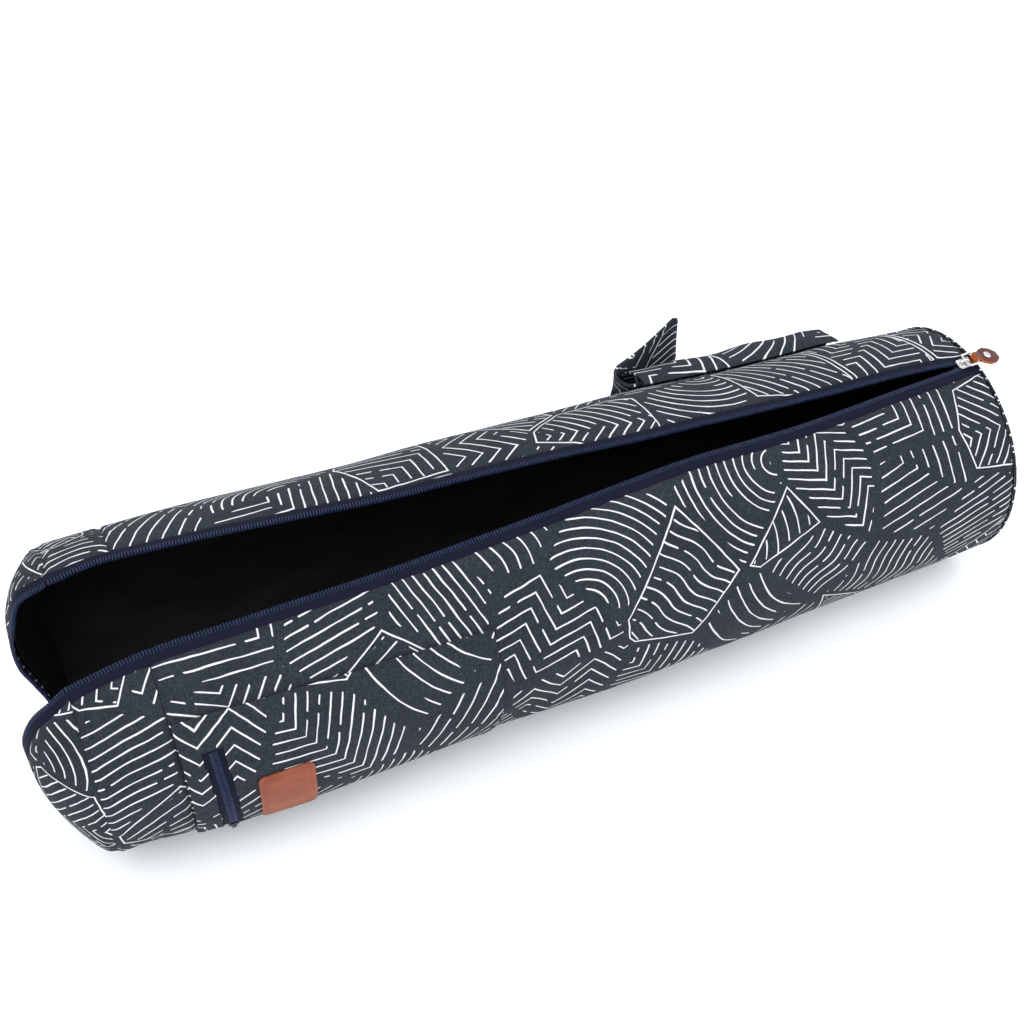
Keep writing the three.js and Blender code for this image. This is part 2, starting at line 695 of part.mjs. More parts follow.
const pocketAngle = (x, j) => {
  const stop = pocketStopsRound[j];
  if (stop.angle !== undefined) return stop.angle;
  return THREE.MathUtils.lerp(pocketTopAt(x), pocketZipTop, stop.t);
};
const pocketPoint = (out) => (i, j) =>
  onTube(pocketStopsX[i], pocketAngle(pocketStopsX[i], j), out);
add(
  "pocket_panel",
  wallBetween(
    pocketStopsX.length - 1,
    pocketStopsRound.length - 1,
    pocketPoint(pocketHigh),
    pocketPoint(pocketLow),
    { keep: (i, j) => !(i === 1 && j >= 2 && j < 11) },
  ),
  "printedCanvas",
);

// A strip that runs round the tube, from one angle to another
function roundStrip(fromX, toX, fromAngle, toAngle, steps, low, high) {
  const point = (out) => (i, j) =>
    onTube(i === 0 ? fromX : toX, THREE.MathUtils.lerp(fromAngle, toAngle, j / steps), out);
  return wallBetween(1, steps, point(high), point(low));
}

const inset = degreesFor(seamGap, zipMiddle);
const pocketTapeHigh = pocketLow + tapeCloth;
const pocketCoilLow = pocketTapeHigh + 0.2;
const pocketCoilHigh = pocketCoilLow + pocketCoilHeight;
add(
  "pocket_zip_tape",
  roundStrip(
    zipMiddle - pocketTapeWidth / 2,
    zipMiddle + pocketTapeWidth / 2,
    pocketZipTop - inset,
    pocketZipBottom + inset,
    18,
    pocketLow,
    pocketTapeHigh,
  ),
  "zipTape",
);
add(
  "pocket_zip_coil",
  roundStrip(
    zipMiddle - pocketCoilWidth / 2,
    zipMiddle + pocketCoilWidth / 2,
    pocketZipTop - 2 * inset,
    pocketZipBottom + 2 * inset,
    18,
    pocketCoilLow,
    pocketCoilHigh,
  ),
  "zipCoil",
);

// The pocket's slider stands over its coil near the lower end
const pocketSliderAngle = pocketZipBottom + degreesFor(pocketSliderLength, zipMiddle);
const saddleInner = pocketCoilWidth / 2 + 0.3;
const saddleOuter = saddleInner + 0.9;
const pocketSliderPlace = new THREE.Matrix4()
  .makeBasis(
    vec(1, 0, 0),
    vec(0, Math.sin(radians(pocketSliderAngle)), Math.cos(radians(pocketSliderAngle))),
    vec(0, -Math.cos(radians(pocketSliderAngle)), Math.sin(radians(pocketSliderAngle))),
  )
  .setPosition(onTube(zipMiddle, pocketSliderAngle, 0));
const saddleLow = pocketTapeHigh + 0.35;
const saddleTop = pocketCoilHigh + 0.3;
const saddle = [
  block(2 * saddleOuter, pocketSliderLength, 1, 0, 0, saddleTop + 0.5),
  ...[-1, 1].map((side) =>
    block(
      saddleOuter - saddleInner,
      pocketSliderLength,
      saddleTop + 0.5 - saddleLow,
      (side * (saddleInner + saddleOuter)) / 2,
      0,
      (saddleTop + 0.5 + saddleLow) / 2,
    ),
  ),
  block(3, 13, 1, 0, -5.5, saddleTop + 1.4),
];
add("pocket_slider", placed(joined(saddle), pocketSliderPlace), "metal");

// Leather patch: rows that grow shorter round its corners

const patchX = bandSeam + patchFromSeam;
const patchLow = pocketHigh + patchLift;
const cornerRows = [0, 0.14, 0.5, 1];
const patchRows = [
  ...cornerRows.map((t) => t * patchCorner),
  ...[1, 2, 3].map((n) => THREE.MathUtils.lerp(patchCorner, patchHeight - patchCorner, n / 4)),
  ...cornerRows.map((t) => patchHeight - t * patchCorner).reverse(),
];
function patchPoint(out) {
  return (i, j) => {
    const down = patchRows[j];
    const into = Math.max(0, patchCorner - Math.min(down, patchHeight - down));
    const cut = patchCorner - Math.sqrt(Math.max(patchCorner ** 2 - into ** 2, 0));
    const half = patchLength / 2 - cut;
    const angle = patchTop - degreesFor(down, patchX);
    return onTube(patchX + half * (i / 2 - 1), angle, out);
  };
}
add(
  "leather_patch",
  wallBetween(4, patchRows.length - 1, patchPoint(patchLow + patchLeather), patchPoint(patchLow)),
  "leather",
);

// Cloth tunnel on the back shoulder: open towards -X, sewn flat at its other end

const tunnelFar = halfLength - tunnelFromEnd;
const tunnelEndShare = 0.16; // of its length, over which it comes down to the body
const tunnelRound = 8;
const tunnelAlong = 11;
function tunnelPoint(out) {
  return (i, j) => {
    const v = i / tunnelRound;
    const u = j / tunnelAlong;
    const x = tunnelFar - (tunnelLength + tunnelSlant * v) * u;
    const angle = THREE.MathUtils.lerp(tunnelFront, tunnelBack, v);
    const rise = Math.sin(Math.PI * v) ** 0.75 * Math.sin((Math.PI / 2) * Math.min(1, u / tunnelEndShare));
    return onTube(x, angle, 0.6 + tunnelLift * rise + out);
  };
}
add(
  "strap_tunnel",
  wallBetween(tunnelRound, tunnelAlong, tunnelPoint(canvas), tunnelPoint(0)),
  "printedCanvas",
);

// Shoulder strap: out of the tunnel, folded up behind the bag, down, along the floor and up to
// the tube's back, where its other end is sewn on

const strapLift = strapCloth / 2 + 0.6;
const strapWay = strapAngle * (Math.PI / 180);
const insideStops = [0, 0.25, 0.5, 0.75, 1].map((share) =>
  THREE.MathUtils.lerp(tunnelFar - strapHidden, tunnelFar - tunnelLength + 4, share),
);
function sewnStop(angle) {
  const edges = [-1, 1].map((side) => onTube(strapSewnX - (side * strapWidth) / 2, angle, strapLift));
  return { place: edges[0].clone().lerp(edges[1], 0.5), across: edges[1].sub(edges[0]).normalize() };
}
const strapStops = [
  ...insideStops.map((x) => ({
    place: onTube(x, strapAngle, strapLift),
    across: vec(0, Math.sin(strapWay), Math.cos(strapWay)),
  })),
  ...strapRun.map((row) => ({
    place: vec(row.x * halfLength, row.y * openRadius, row.z * openRadius),
    across: vec(row.wx, row.wy, row.wz).normalize(),
  })),
  ...strapSewnAngles.map((angle) => sewnStop(angle)),
];
const smooth = (points) => new THREE.CatmullRomCurve3(points, false, "centripetal");
const strapLine = smooth(strapStops.map((stop) => stop.place));
const strapAcross = smooth(strapStops.map((stop) => stop.across));
function strapPoint(out) {
  return (i, j) => {
    const t = j / strapSteps;
    const place = strapLine.getPoint(t);
    const tangent = strapLine.getTangent(t);
    const across = strapAcross.getPoint(t).normalize();
    const normal = tangent.clone().cross(across).normalize();
    return place
      .addScaledVector(across, strapWidth * (i / 2 - 0.5))
      .addScaledVector(normal, out);
  };
}
add(
  "shoulder_strap",
  wallBetween(2, strapSteps, strapPoint(strapCloth / 2), strapPoint(-strapCloth / 2)),
  "printedCanvas",
);

export default bag;
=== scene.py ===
"""A yoga mat bag of printed canvas on a pale floor, its long zip drawn open.

Each piece is made by one operator of this add-on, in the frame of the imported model. The shape
functions work in millimetres, and every mesh is written in metres.
"""

from math import cos, pi, radians, sin

import bmesh
import bpy
import numpy as np
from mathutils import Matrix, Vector


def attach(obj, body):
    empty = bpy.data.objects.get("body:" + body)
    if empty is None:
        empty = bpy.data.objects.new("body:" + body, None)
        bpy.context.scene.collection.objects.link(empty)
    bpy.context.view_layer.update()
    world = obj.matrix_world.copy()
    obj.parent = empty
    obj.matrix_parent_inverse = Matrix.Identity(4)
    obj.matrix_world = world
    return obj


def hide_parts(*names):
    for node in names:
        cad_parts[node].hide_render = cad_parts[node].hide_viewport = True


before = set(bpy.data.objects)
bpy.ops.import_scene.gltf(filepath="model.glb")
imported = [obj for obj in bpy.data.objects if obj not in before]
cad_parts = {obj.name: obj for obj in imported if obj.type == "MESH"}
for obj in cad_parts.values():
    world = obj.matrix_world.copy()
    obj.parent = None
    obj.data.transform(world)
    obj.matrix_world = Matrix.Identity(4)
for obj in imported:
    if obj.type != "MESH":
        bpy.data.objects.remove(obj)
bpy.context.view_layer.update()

bl_info = {
    "name": "Yoga mat bag",
    "version": (1, 0, 0),
    "blender": (4, 5, 0),
    "location": "View3D > Sidebar > Mat bag",
    "description": "Builds a canvas yoga mat bag with an open zip, a front pocket and a strap",
    "category": "Add Mesh",
}

MM = 0.001

# How the tube's form changes from the closed end (along 0) to the open end (along 1). swell goes
# from the closed radius to the open radius, mouth is a share of the mouth's angle, lean is how far
# the zip turns in degrees, and drift is how far the axis moves back, as a share of the open radius.
TUBE_FORM = [
    {"along": 0, "swell": 0, "mouth": 0.01, "lean": 2.5, "drift": 0},
    {"along": 0.015, "swell": 0.03, "mouth": 0.01, "lean": 2.5, "drift": 0},
    {"along": 0.03, "swell": 0.07, "mouth": 0.06, "lean": 2.4, "drift": 0},
    {"along": 0.12, "swell": 0.26, "mouth": 0.165, "lean": 1.2, "drift": 0},
    {"along": 0.24, "swell": 0.44, "mouth": 0.275, "lean": 0, "drift": 0},
    {"along": 0.38, "swell": 0.7, "mouth": 0.345, "lean": 0, "drift": 0.002},
    {"along": 0.54, "swell": 0.84, "mouth": 0.546, "lean": -1.1, "drift": 0.029},
    {"along": 0.7, "swell": 0.92, "mouth": 0.715, "lean": -2, "drift": 0.068},
    {"along": 0.84, "swell": 1, "mouth": 0.88, "lean": -1.3, "drift": 0.107},
    {"along": 0.93, "swell": 0.99, "mouth": 0.97, "lean": -1.4, "drift": 0.142},
    {"along": 1, "swell": 0.93, "mouth": 1, "lean": -4.2, "drift": 0.154},
]

# Soft folds and dents in the tube. Lengths are shares of the open radius, turn is from the tube's
# length in degrees, and depth is inwards.
FOLDS = [
    {"along": 0.51, "angle": -4, "length": 0.95, "width": 0.17, "turn": 28, "depth": 0.034},
    {"along": 0.42, "angle": -22, "length": 0.7, "width": 0.15, "turn": 24, "depth": -0.016},
    {"along": 0.6, "angle": 38, "length": 1.3, "width": 0.3, "turn": -6, "depth": 0.016},
    {"along": 0.97, "angle": 20, "length": 0.34, "width": 0.16, "turn": 80, "depth": 0.022},
    {"along": 0.96, "angle": -30, "length": 0.3, "width": 0.12, "turn": 60, "depth": 0.018},
    {"along": 0.78, "angle": 128, "length": 0.9, "width": 0.16, "turn": 4, "depth": 0.018},
    {"along": 0.28, "angle": 205, "length": 1.1, "width": 0.2, "turn": -12, "depth": 0.022},
    {"along": 0.66, "angle": 190, "length": 1.2, "width": 0.22, "turn": 9, "depth": 0.02},
]

# The slit in the open end, from the front half's upper corner down and up to the back half's.
# across and up are shares of the open radius from the tube's axis, out is a share of the bulge.
SLIT_FORM = [
    {"across": -0.645, "up": 0.669, "out": 0.3},
    {"across": -0.615, "up": 0.556, "out": 0.636},
    {"across": -0.564, "up": 0.336, "out": 0.909},
    {"across": -0.513, "up": 0.1, "out": 0.94},
    {"across": -0.43, "up": -0.141, "out": 0.82},
    {"across": -0.324, "up": -0.352, "out": 0.667},
    {"across": -0.192, "up": -0.537, "out": 0.515},
    {"across": -0.031, "up": -0.633, "out": 0.424},
    {"across": 0.138, "up": -0.555, "out": 0.364},
    {"across": 0.225, "up": -0.383, "out": 0.333},
    {"across": 0.248, "up": -0.196, "out": 0.364},
    {"across": 0.259, "up": 0.001, "out": 0.515},
    {"across": 0.259, "up": 0.202, "out": 0.667},
    {"across": 0.248, "up": 0.433, "out": 0.667},
    {"across": 0.217, "up": 0.588, "out": 0.576},
    {"across": 0.176, "up": 0.863, "out": 0.303},
]

# The strap's free run: x is a share of half the tube's length, y and z are shares of the open
# radius, and the last three columns point from the strap's upper edge to its lower edge.
STRAP_RUN = [
    {"x": 0.298, "y": 0.803, "z": 1.53, "wx": 0.1, "wy": 0.7, "wz": -0.7},
    {"x": 0.286, "y": 0.839, "z": 1.55, "wx": 0.25, "wy": 0.6, "wz": -0.76},
    {"x": 0.305, "y": 0.957, "z": 1.48, "wx": 0.24, "wy": 0.4, "wz": -0.88},
    {"x": 0.343, "y": 1.0, "z": 1.44, "wx": 0.15, "wy": 0.15, "wz": -0.97},
    {"x": 0.376, "y": 1.01, "z": 1.48, "wx": 0.08, "wy": 0.08, "wz": -1},
    {"x": 0.414, "y": 0.99, "z": 1.59, "wx": 0.06, "wy": 0.02, "wz": -1},
    {"x": 0.445, "y": 0.979, "z": 1.68, "wx": 0.05, "wy": 0, "wz": -1},
    {"x": 0.459, "y": 1.01, "z": 1.65, "wx": 0.05, "wy": 0, "wz": -1},
    {"x": 0.46, "y": 1.04, "z": 1.59, "wx": 0.05, "wy": 0, "wz": -1},
    {"x": 0.429, "y": 1.06, "z": 1.49, "wx": 0.06, "wy": 0.02, "wz": -1},
    {"x": 0.391, "y": 1.08, "z": 1.39, "wx": 0.1, "wy": 0.08, "wz": -0.99},
    {"x": 0.372, "y": 1.11, "z": 1.31, "wx": 0.35, "wy": 0.2, "wz": -0.91},
    {"x": 0.373, "y": 1.16, "z": 1.23, "wx": 0.65, "wy": 0.3, "wz": -0.68},
    {"x": 0.381, "y": 1.22, "z": 1.09, "wx": 0.85, "wy": 0.33, "wz": -0.38},
    {"x": 0.394, "y": 1.29, "z": 0.92, "wx": 0.94, "wy": 0.33, "wz": -0.1},
    {"x": 0.338, "y": 1.35, "z": 0.604, "wx": 0.92, "wy": 0.38, "wz": 0},
    {"x": 0.289, "y": 1.48, "z": 0.252, "wx": 0.75, "wy": 0.66, "wz": 0},
    {"x": 0.203, "y": 1.52, "z": 0.0704, "wx": 0.45, "wy": 0.89, "wz": 0},
    {"x": 0.0677, "y": 1.53, "z": 0.0201, "wx": 0.1, "wy": 0.99, "wz": 0},
    {"x": -0.0985, "y": 1.53, "z": 0.0171, "wx": 0, "wy": 1, "wz": 0},
    {"x": -0.329, "y": 1.51, "z": 0.0171, "wx": 0, "wy": 1, "wz": 0},
    {"x": -0.548, "y": 1.46, "z": 0.0241, "wx": -0.15, "wy": 0.98, "wz": 0},
    {"x": -0.668, "y": 1.35, "z": 0.171, "wx": -0.5, "wy": 0.8, "wz": -0.1},
    {"x": -0.738, "y": 1.19, "z": 0.36, "wx": -0.85, "wy": 0.45, "wz": 0},
    {"x": -0.762, "y": 1.155, "z": 0.62, "wx": -0.99, "wy": 0.1, "wz": 0},
]


def number(name, about, value):
    return bpy.props.FloatProperty(name=name, description=about, default=value)


def tint(name, about, value):
    return bpy.props.FloatVectorProperty(
        name=name, description=about, subtype="COLOR", size=4, min=0, max=1, default=value
    )


class MATBAG_PG_sizes(bpy.types.PropertyGroup):
    """Sizes in millimetres and degrees, the same as the frame's own"""

    tube_length: number("Tube length", "Between the two end seams", 650)
    closed_radius: number("Closed end radius", "Tube's radius at the closed end", 85.6)
    open_radius: number("Open end radius", "Tube's radius at the open end", 99.4)
    floor_press: number("Floor press", "How far the underside is pressed flat", 2.5)
    zip_angle: number("Zip angle", "Degrees round from the front", 77.5)
    mouth_angle: number("Mouth angle", "Degrees between the zip's halves at the open end", 39)
    band_length: number("Band length", "Ring of canvas next to the open end", 48)
    end_bulge: number("Closed end bulge", "How far the closed end swells", 9)
    mouth_bulge: number("Mouth bulge", "How far the open end's halves stand out", 33)
    canvas: number("Canvas", "Thickness of the canvas", 1.4)
    seam_gap: number("Seam gap", "Between pieces that meet", 0.3)
    seam_sink: number("Seam sink", "How far the canvas dips at a seam", 1.5)
    seam_pucker: number("Seam pucker", "Height of the small puckers beside a seam", 0.2)
    tape_width: number("Zip tape", "Tape that shows beside the coil", 3.4)
    coil_width: number("Coil width", "Width of one side's coil", 3.8)
    coil_pitch: number("Coil pitch", "Between two turns of the coil", 1.9)
    strap_width: number("Strap width", "Width of the shoulder strap", 38)
    strap_cloth: number("Strap thickness", "Thickness of the folded strap", 2.5)


class MATBAG_PG_colours(bpy.types.PropertyGroup):
    """Colours of the materials"""

    canvas: tint("Canvas", "Charcoal ground of the print", (0.0175, 0.0225, 0.029, 1))
    canvas_light: tint("Canvas flecks", "Paler threads in the canvas", (0.046, 0.056, 0.067, 1))
    line: tint("Printed lines", "White of the printed lines", (0.77, 0.79, 0.8, 1))
    lining: tint("Lining", "Black lining", (0.005, 0.0052, 0.006, 1))
    tape: tint("Zip tape", "Dark navy tape", (0.0018, 0.003, 0.0105, 1))
    coil: tint("Zip coil", "Navy nylon coil", (0.009, 0.015, 0.044, 1))
    patch: tint("Leather patch", "Tan leather", (0.31, 0.078, 0.032, 1))
    pull: tint("Leather pull", "Red brown leather", (0.115, 0.02, 0.011, 1))
    thread: tint("Thread", "Thread on the leather patch", (0.56, 0.2, 0.09, 1))
    floor: tint("Floor", "Pale floor", (0.96, 0.965, 0.98, 1))


def sizes():
    return bpy.context.scene.matbag_sizes


def colours():
    return bpy.context.scene.matbag_colours


# Shape of the bag, in millimetres


def table(rows, name):
    return np.array([row[name] for row in rows], dtype=float)


def column(name, along):
    """The value of one of the tube's columns, on a smooth curve between the table's rows."""
    keys = table(TUBE_FORM, "along")
    values = table(TUBE_FORM, name)
    before = np.r_[0, np.arange(len(keys) - 1)]
    after = np.r_[np.arange(1, len(keys)), len(keys) - 1]
    slopes = (values[after] - values[before]) / (keys[after] - keys[before])
    at = np.clip(along, keys[0], keys[-1])
    k = np.clip(np.searchsorted(keys, at) - 1, 0, len(keys) - 2)
    span = keys[k + 1] - keys[k]
    t = (at - keys[k]) / span
    return (
        (2 * t**3 - 3 * t**2 + 1) * values[k]
        + (t**3 - 2 * t**2 + t) * span * slopes[k]
        + (3 * t**2 - 2 * t**3) * values[k + 1]
        + (t**3 - t**2) * span * slopes[k + 1]
    )


def share(x):
    return (sizes().tube_length / 2 - x) / sizes().tube_length


def radius_at(x):
    s = sizes()
    return s.closed_radius + (s.open_radius - s.closed_radius) * column("swell", share(x))


def drift_at(x):
    return sizes().open_radius * column("drift", share(x))


def zip_at(x):
    return sizes().zip_angle + column("lean", share(x))


def band_width():
    """How far the canvas's cut edge lies from the coil's free edge."""
    s = sizes()
    return s.seam_gap + s.tape_width + 0.6 + s.coil_width


def cut_at(side, x):
    """Where the canvas is cut beside the zip, in degrees round from the front."""
    half = sizes().mouth_angle * column("mouth", share(x)) / 2 + np.degrees(band_width() / radius_at(x))
    return zip_at(x) - side * half


def angle_at(x, around):
    front = cut_at(1, x)
    return front + (cut_at(-1, x) - 360 - front) * around


def fold_at(x, angle):
    s = sizes()
    moved = 0
    for f in FOLDS:
        nearer = (angle - f["angle"] + 540) % 360 - 180
        dx = x - (s.tube_length / 2 - f["along"] * s.tube_length)
        dy = np.radians(nearer) * s.open_radius
        c = cos(radians(f["turn"]))
        n = sin(radians(f["turn"]))
        along = (dx * c + dy * n) / (f["length"] * s.open_radius)
        over = (dy * c - dx * n) / (f["width"] * s.open_radius)
        moved = moved - f["depth"] * s.open_radius * np.exp(-(along**2 + over**2))
    return moved


def rumple(x, angle):
    """Slight unevenness that worn canvas has all over, and the sag of its lower front."""
    a = np.radians(angle)
    sag = 3.4 * np.exp(-(((x + 225) / 85) ** 2)) * np.exp(-(((angle + 38) / 26) ** 2))
    return sag + (
        0.45 * np.sin(x / 31 + 2 * np.sin(2 * a + 0.4)) * np.sin(3 * a + x / 97)
        + 0.3 * np.sin(x / 17 - 1.3 * np.sin(3 * a)) * np.sin(5 * a - x / 61 + 1)
    )


def on_tube(x, angle, out):
    """A point of the tube, out from the canvas's outer face. The underside is pressed flat."""
    r = radius_at(x) + fold_at(x, angle) + rumple(x, angle) + out
    a = np.radians(angle)
    z = radius_at(x) - sizes().floor_press + r * np.sin(a)
    y = drift_at(x) - r * np.cos(a)
    return np.stack(np.broadcast_arrays(x + pulled_in(x, angle), y, np.maximum(z, -out)), -1)


def pulled_in(x, angle):
    """How far the open end's upper back corner is drawn towards the middle of the bag."""
    nearer = (angle - 120 + 540) % 360 - 180
    reach = np.clip((-x - 270) / 55, 0, 1.05)
    return 11 * np.exp(-((nearer / 46) ** 2)) * reach**2 * (3 - 2 * reach)


def smooth_curve(points, t):
    """A centripetal curve through points, at shares t of its stretches."""
    p = np.vstack([2 * points[0] - points[1], points, 2 * points[-1] - points[-2]])
    place = np.clip(t, 0, 1) * (len(points) - 1)
    k = np.minimum(place.astype(int), len(points) - 2)
    w = (place - k)[..., None]
    a, b, c, d = p[k], p[k + 1], p[k + 2], p[k + 3]
    pairs = ((a, b), (b, c), (c, d))
    step = [np.maximum(((q - r) ** 2).sum(-1, keepdims=True) ** 0.25, 1e-4) for q, r in pairs]
    first = (b - a) / step[0] - (c - a) / (step[0] + step[1]) + (c - b) / step[1]
    last = (c - b) / step[1] - (d - b) / (step[1] + step[2]) + (d - c) / step[2]
    first = first * step[1]
    last = last * step[1]
    return b + first * w + (3 * (c - b) - 2 * first - last) * w**2 + (2 * (b - c) + first + last) * w**3


def evened(points, count=1200):
    """The same curve as many points an equal way apart."""
    fine = smooth_curve(points, np.linspace(0, 1, count))
    run = np.r_[0, np.cumsum(np.linalg.norm(np.diff(fine, axis=0), axis=1))]
    return fine, run


def slit_at(around):
    """A point of the canvas's edge round the slit in the open end."""
    s = sizes()
    mouth_x = -s.tube_length / 2 - s.seam_gap / 2
    corners = [on_tube(mouth_x, cut_at(side, -s.tube_length / 2), 0) for side in (1, -1)]
    rows = np.stack(
        [
            mouth_x - s.mouth_bulge * table(SLIT_FORM, "out"),
            drift_at(-s.tube_length / 2) + s.open_radius * table(SLIT_FORM, "across"),
            radius_at(-s.tube_length / 2) - s.floor_press + s.open_radius * table(SLIT_FORM, "up"),
        ],
        -1,
    )
    fine, run = evened(np.vstack([corners[0], rows, corners[1]]))
    at = np.asarray(around) * run[-1]
    return np.stack([np.interp(at, run, fine[:, k]) for k in range(3)], -1)


MOUTH_FULLNESS = 0.7


def on_mouth(around, inwards):
    """A point of the open end: from the seam (inwards 0) to the slit (inwards 1)."""
    s = sizes()
    mouth_x = -s.tube_length / 2 - s.seam_gap / 2
    rim = on_tube(mouth_x, angle_at(-s.tube_length / 2, around), 0)
    edge = slit_at(around)
    point = rim + (edge - rim) * inwards[..., None]
    point[..., 0] = rim[..., 0] + (edge[..., 0] - rim[..., 0]) * np.sin(inwards * pi / 2) ** MOUTH_FULLNESS
    return point


def unit(v):
    return v / np.maximum(np.linalg.norm(v, axis=-1, keepdims=True), 1e-9)


def normals_of(grid):
    """The way out of a grid of points, by its neighbours."""
    return unit(np.cross(np.gradient(grid, axis=0), np.gradient(grid, axis=1)))


def seam_dip(distance, along, sink=None):
    """How far canvas dips beside a seam, with the thread's small puckers."""
    s = sizes()
    near = np.exp(-((distance / 2.1) ** 2))
    wide = np.exp(-((distance / 9) ** 2))
    pucker = s.seam_pucker * wide * np.sin(along / 1.35 + 1.5 * np.sin(along / 13))
    return -(s.seam_sink if sink is None else sink) * near + pucker


def crowded(share_along, amount):
    """Shares drawn towards both ends, so that the rows are finer beside seams."""
    return share_along - amount * np.sin(2 * pi * share_along) / (2 * pi)


# Making meshes


def alone(ob):
    bpy.ops.object.select_all(action="DESELECT")
    ob.select_set(True)
    bpy.context.view_layer.objects.active = ob


def plain(name):
    """A piece's name in the frame's letters."""
    return name.lower().replace(" ", "_") + "_visual"


def cloth(name, columns, rows, surface, chart):
    """A grid primitive laid on a surface. surface and chart take two arrays of shares, 0 to 1."""
    bpy.ops.object.select_all(action="DESELECT")
    bpy.ops.mesh.primitive_grid_add(x_subdivisions=columns, y_subdivisions=rows, size=1, calc_uvs=True)
    ob = bpy.context.object
    ob.name = plain(name)
    mesh = ob.data
    flat = np.empty(len(mesh.vertices) * 3)
    mesh.vertices.foreach_get("co", flat)
    flat = flat.reshape(-1, 3)
    i = np.rint((flat[:, 0] + 0.5) * columns).astype(int)
    j = np.rint((flat[:, 1] + 0.5) * rows).astype(int)
    u, v = np.meshgrid(np.linspace(0, 1, columns + 1), np.linspace(0, 1, rows + 1), indexing="ij")
    points = surface(u, v)
    mesh.vertices.foreach_set("co", (points[i, j] * MM).ravel())
    charted = np.stack(np.broadcast_arrays(*chart(u, v)), -1)[i, j] * MM
    corner = np.empty(len(mesh.loops), dtype=int)
    mesh.loops.foreach_get("vertex_index", corner)
    mesh.uv_layers.active.data.foreach_set("uv", charted[corner].ravel())
    mesh.update()
    return ob


def finish(ob, material, thickness=0.0, nodes=(), smooth=50, merge=False):
    """Gives a piece its thickness, material and smooth shading, and joins it to the frame."""
    alone(ob)
    if merge:
        bpy.ops.object.mode_set(mode="EDIT")
        bpy.ops.mesh.select_all(action="SELECT")
        bpy.ops.mesh.remove_doubles(threshold=1e-5)
        bpy.ops.object.mode_set(mode="OBJECT")
    if thickness:
        solid = ob.modifiers.new("Thickness", "SOLIDIFY")
        solid.thickness = thickness * MM
        solid.offset = -1
        bpy.ops.object.modifier_apply(modifier=solid.name)
    bpy.ops.object.transform_apply(location=True, rotation=True, scale=True)
    if smooth:
        bpy.ops.object.shade_smooth_by_angle(angle=radians(smooth))
    ob.data.materials.clear()
    ob.data.materials.append(material)
    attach(ob, "root")
    if nodes:
        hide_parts(*nodes)
    return ob


def copies(name, template, places):
    """One mesh of many copies of a template object. places are 4 by 4 matrices in millimetres."""
    mesh = template.data
    base = np.empty(len(mesh.vertices) * 3)
    mesh.vertices.foreach_get("co", base)
    base = np.c_[base.reshape(-1, 3), np.ones(len(mesh.vertices))]
    faces = [tuple(p.vertices) for p in mesh.polygons]
    points = np.concatenate([base @ m.T for m in places])[:, :3] * MM
    count = len(base)
    all_faces = [tuple(v + k * count for v in f) for k in range(len(places)) for f in faces]
    new = bpy.data.meshes.new(plain(name))
    new.from_pydata(points.tolist(), [], all_faces)
    new.update()
    ob = bpy.data.objects.new(plain(name), new)
    bpy.context.scene.collection.objects.link(ob)
    bpy.data.objects.remove(template)
    return ob


def place(x, y, z, at):
    """A matrix from three axes and a place."""
    m = np.eye(4)
    m[:3, 0], m[:3, 1], m[:3, 2], m[:3, 3] = x, y, z, at
    return m


def bar(length, width, height, sides=6, round_end=0.35):
    """A short rounded bar along x, in millimetres: a cylinder whose ends are drawn in."""
    bpy.ops.object.select_all(action="DESELECT")
    bpy.ops.mesh.primitive_cylinder_add(vertices=sides, radius=0.5, depth=1, end_fill_type="NGON")
    ob = bpy.context.object
    bpy.ops.object.mode_set(mode="EDIT")
    bpy.ops.mesh.select_all(action="SELECT")
    bpy.ops.mesh.subdivide(number_cuts=1)
    bpy.ops.object.mode_set(mode="OBJECT")
    mesh = bmesh.new()
    mesh.from_mesh(ob.data)
    ends = [f for f in mesh.faces if abs(f.normal.z) > 0.9]
    bmesh.ops.inset_region(mesh, faces=ends, thickness=round_end * 0.5, depth=0)
    for f in mesh.faces:
        if abs(f.normal.z) > 0.9 and len(f.verts) == sides:
            for v in f.verts:
                v.co.z *= 1 + round_end * 0.5
    mesh.to_mesh(ob.data)
    mesh.free()
    for v in ob.data.vertices:
        x, y, z = v.co
        v.co = (z * length / (1 + round_end * 0.5), x * width, y * height)
    return ob


# Materials


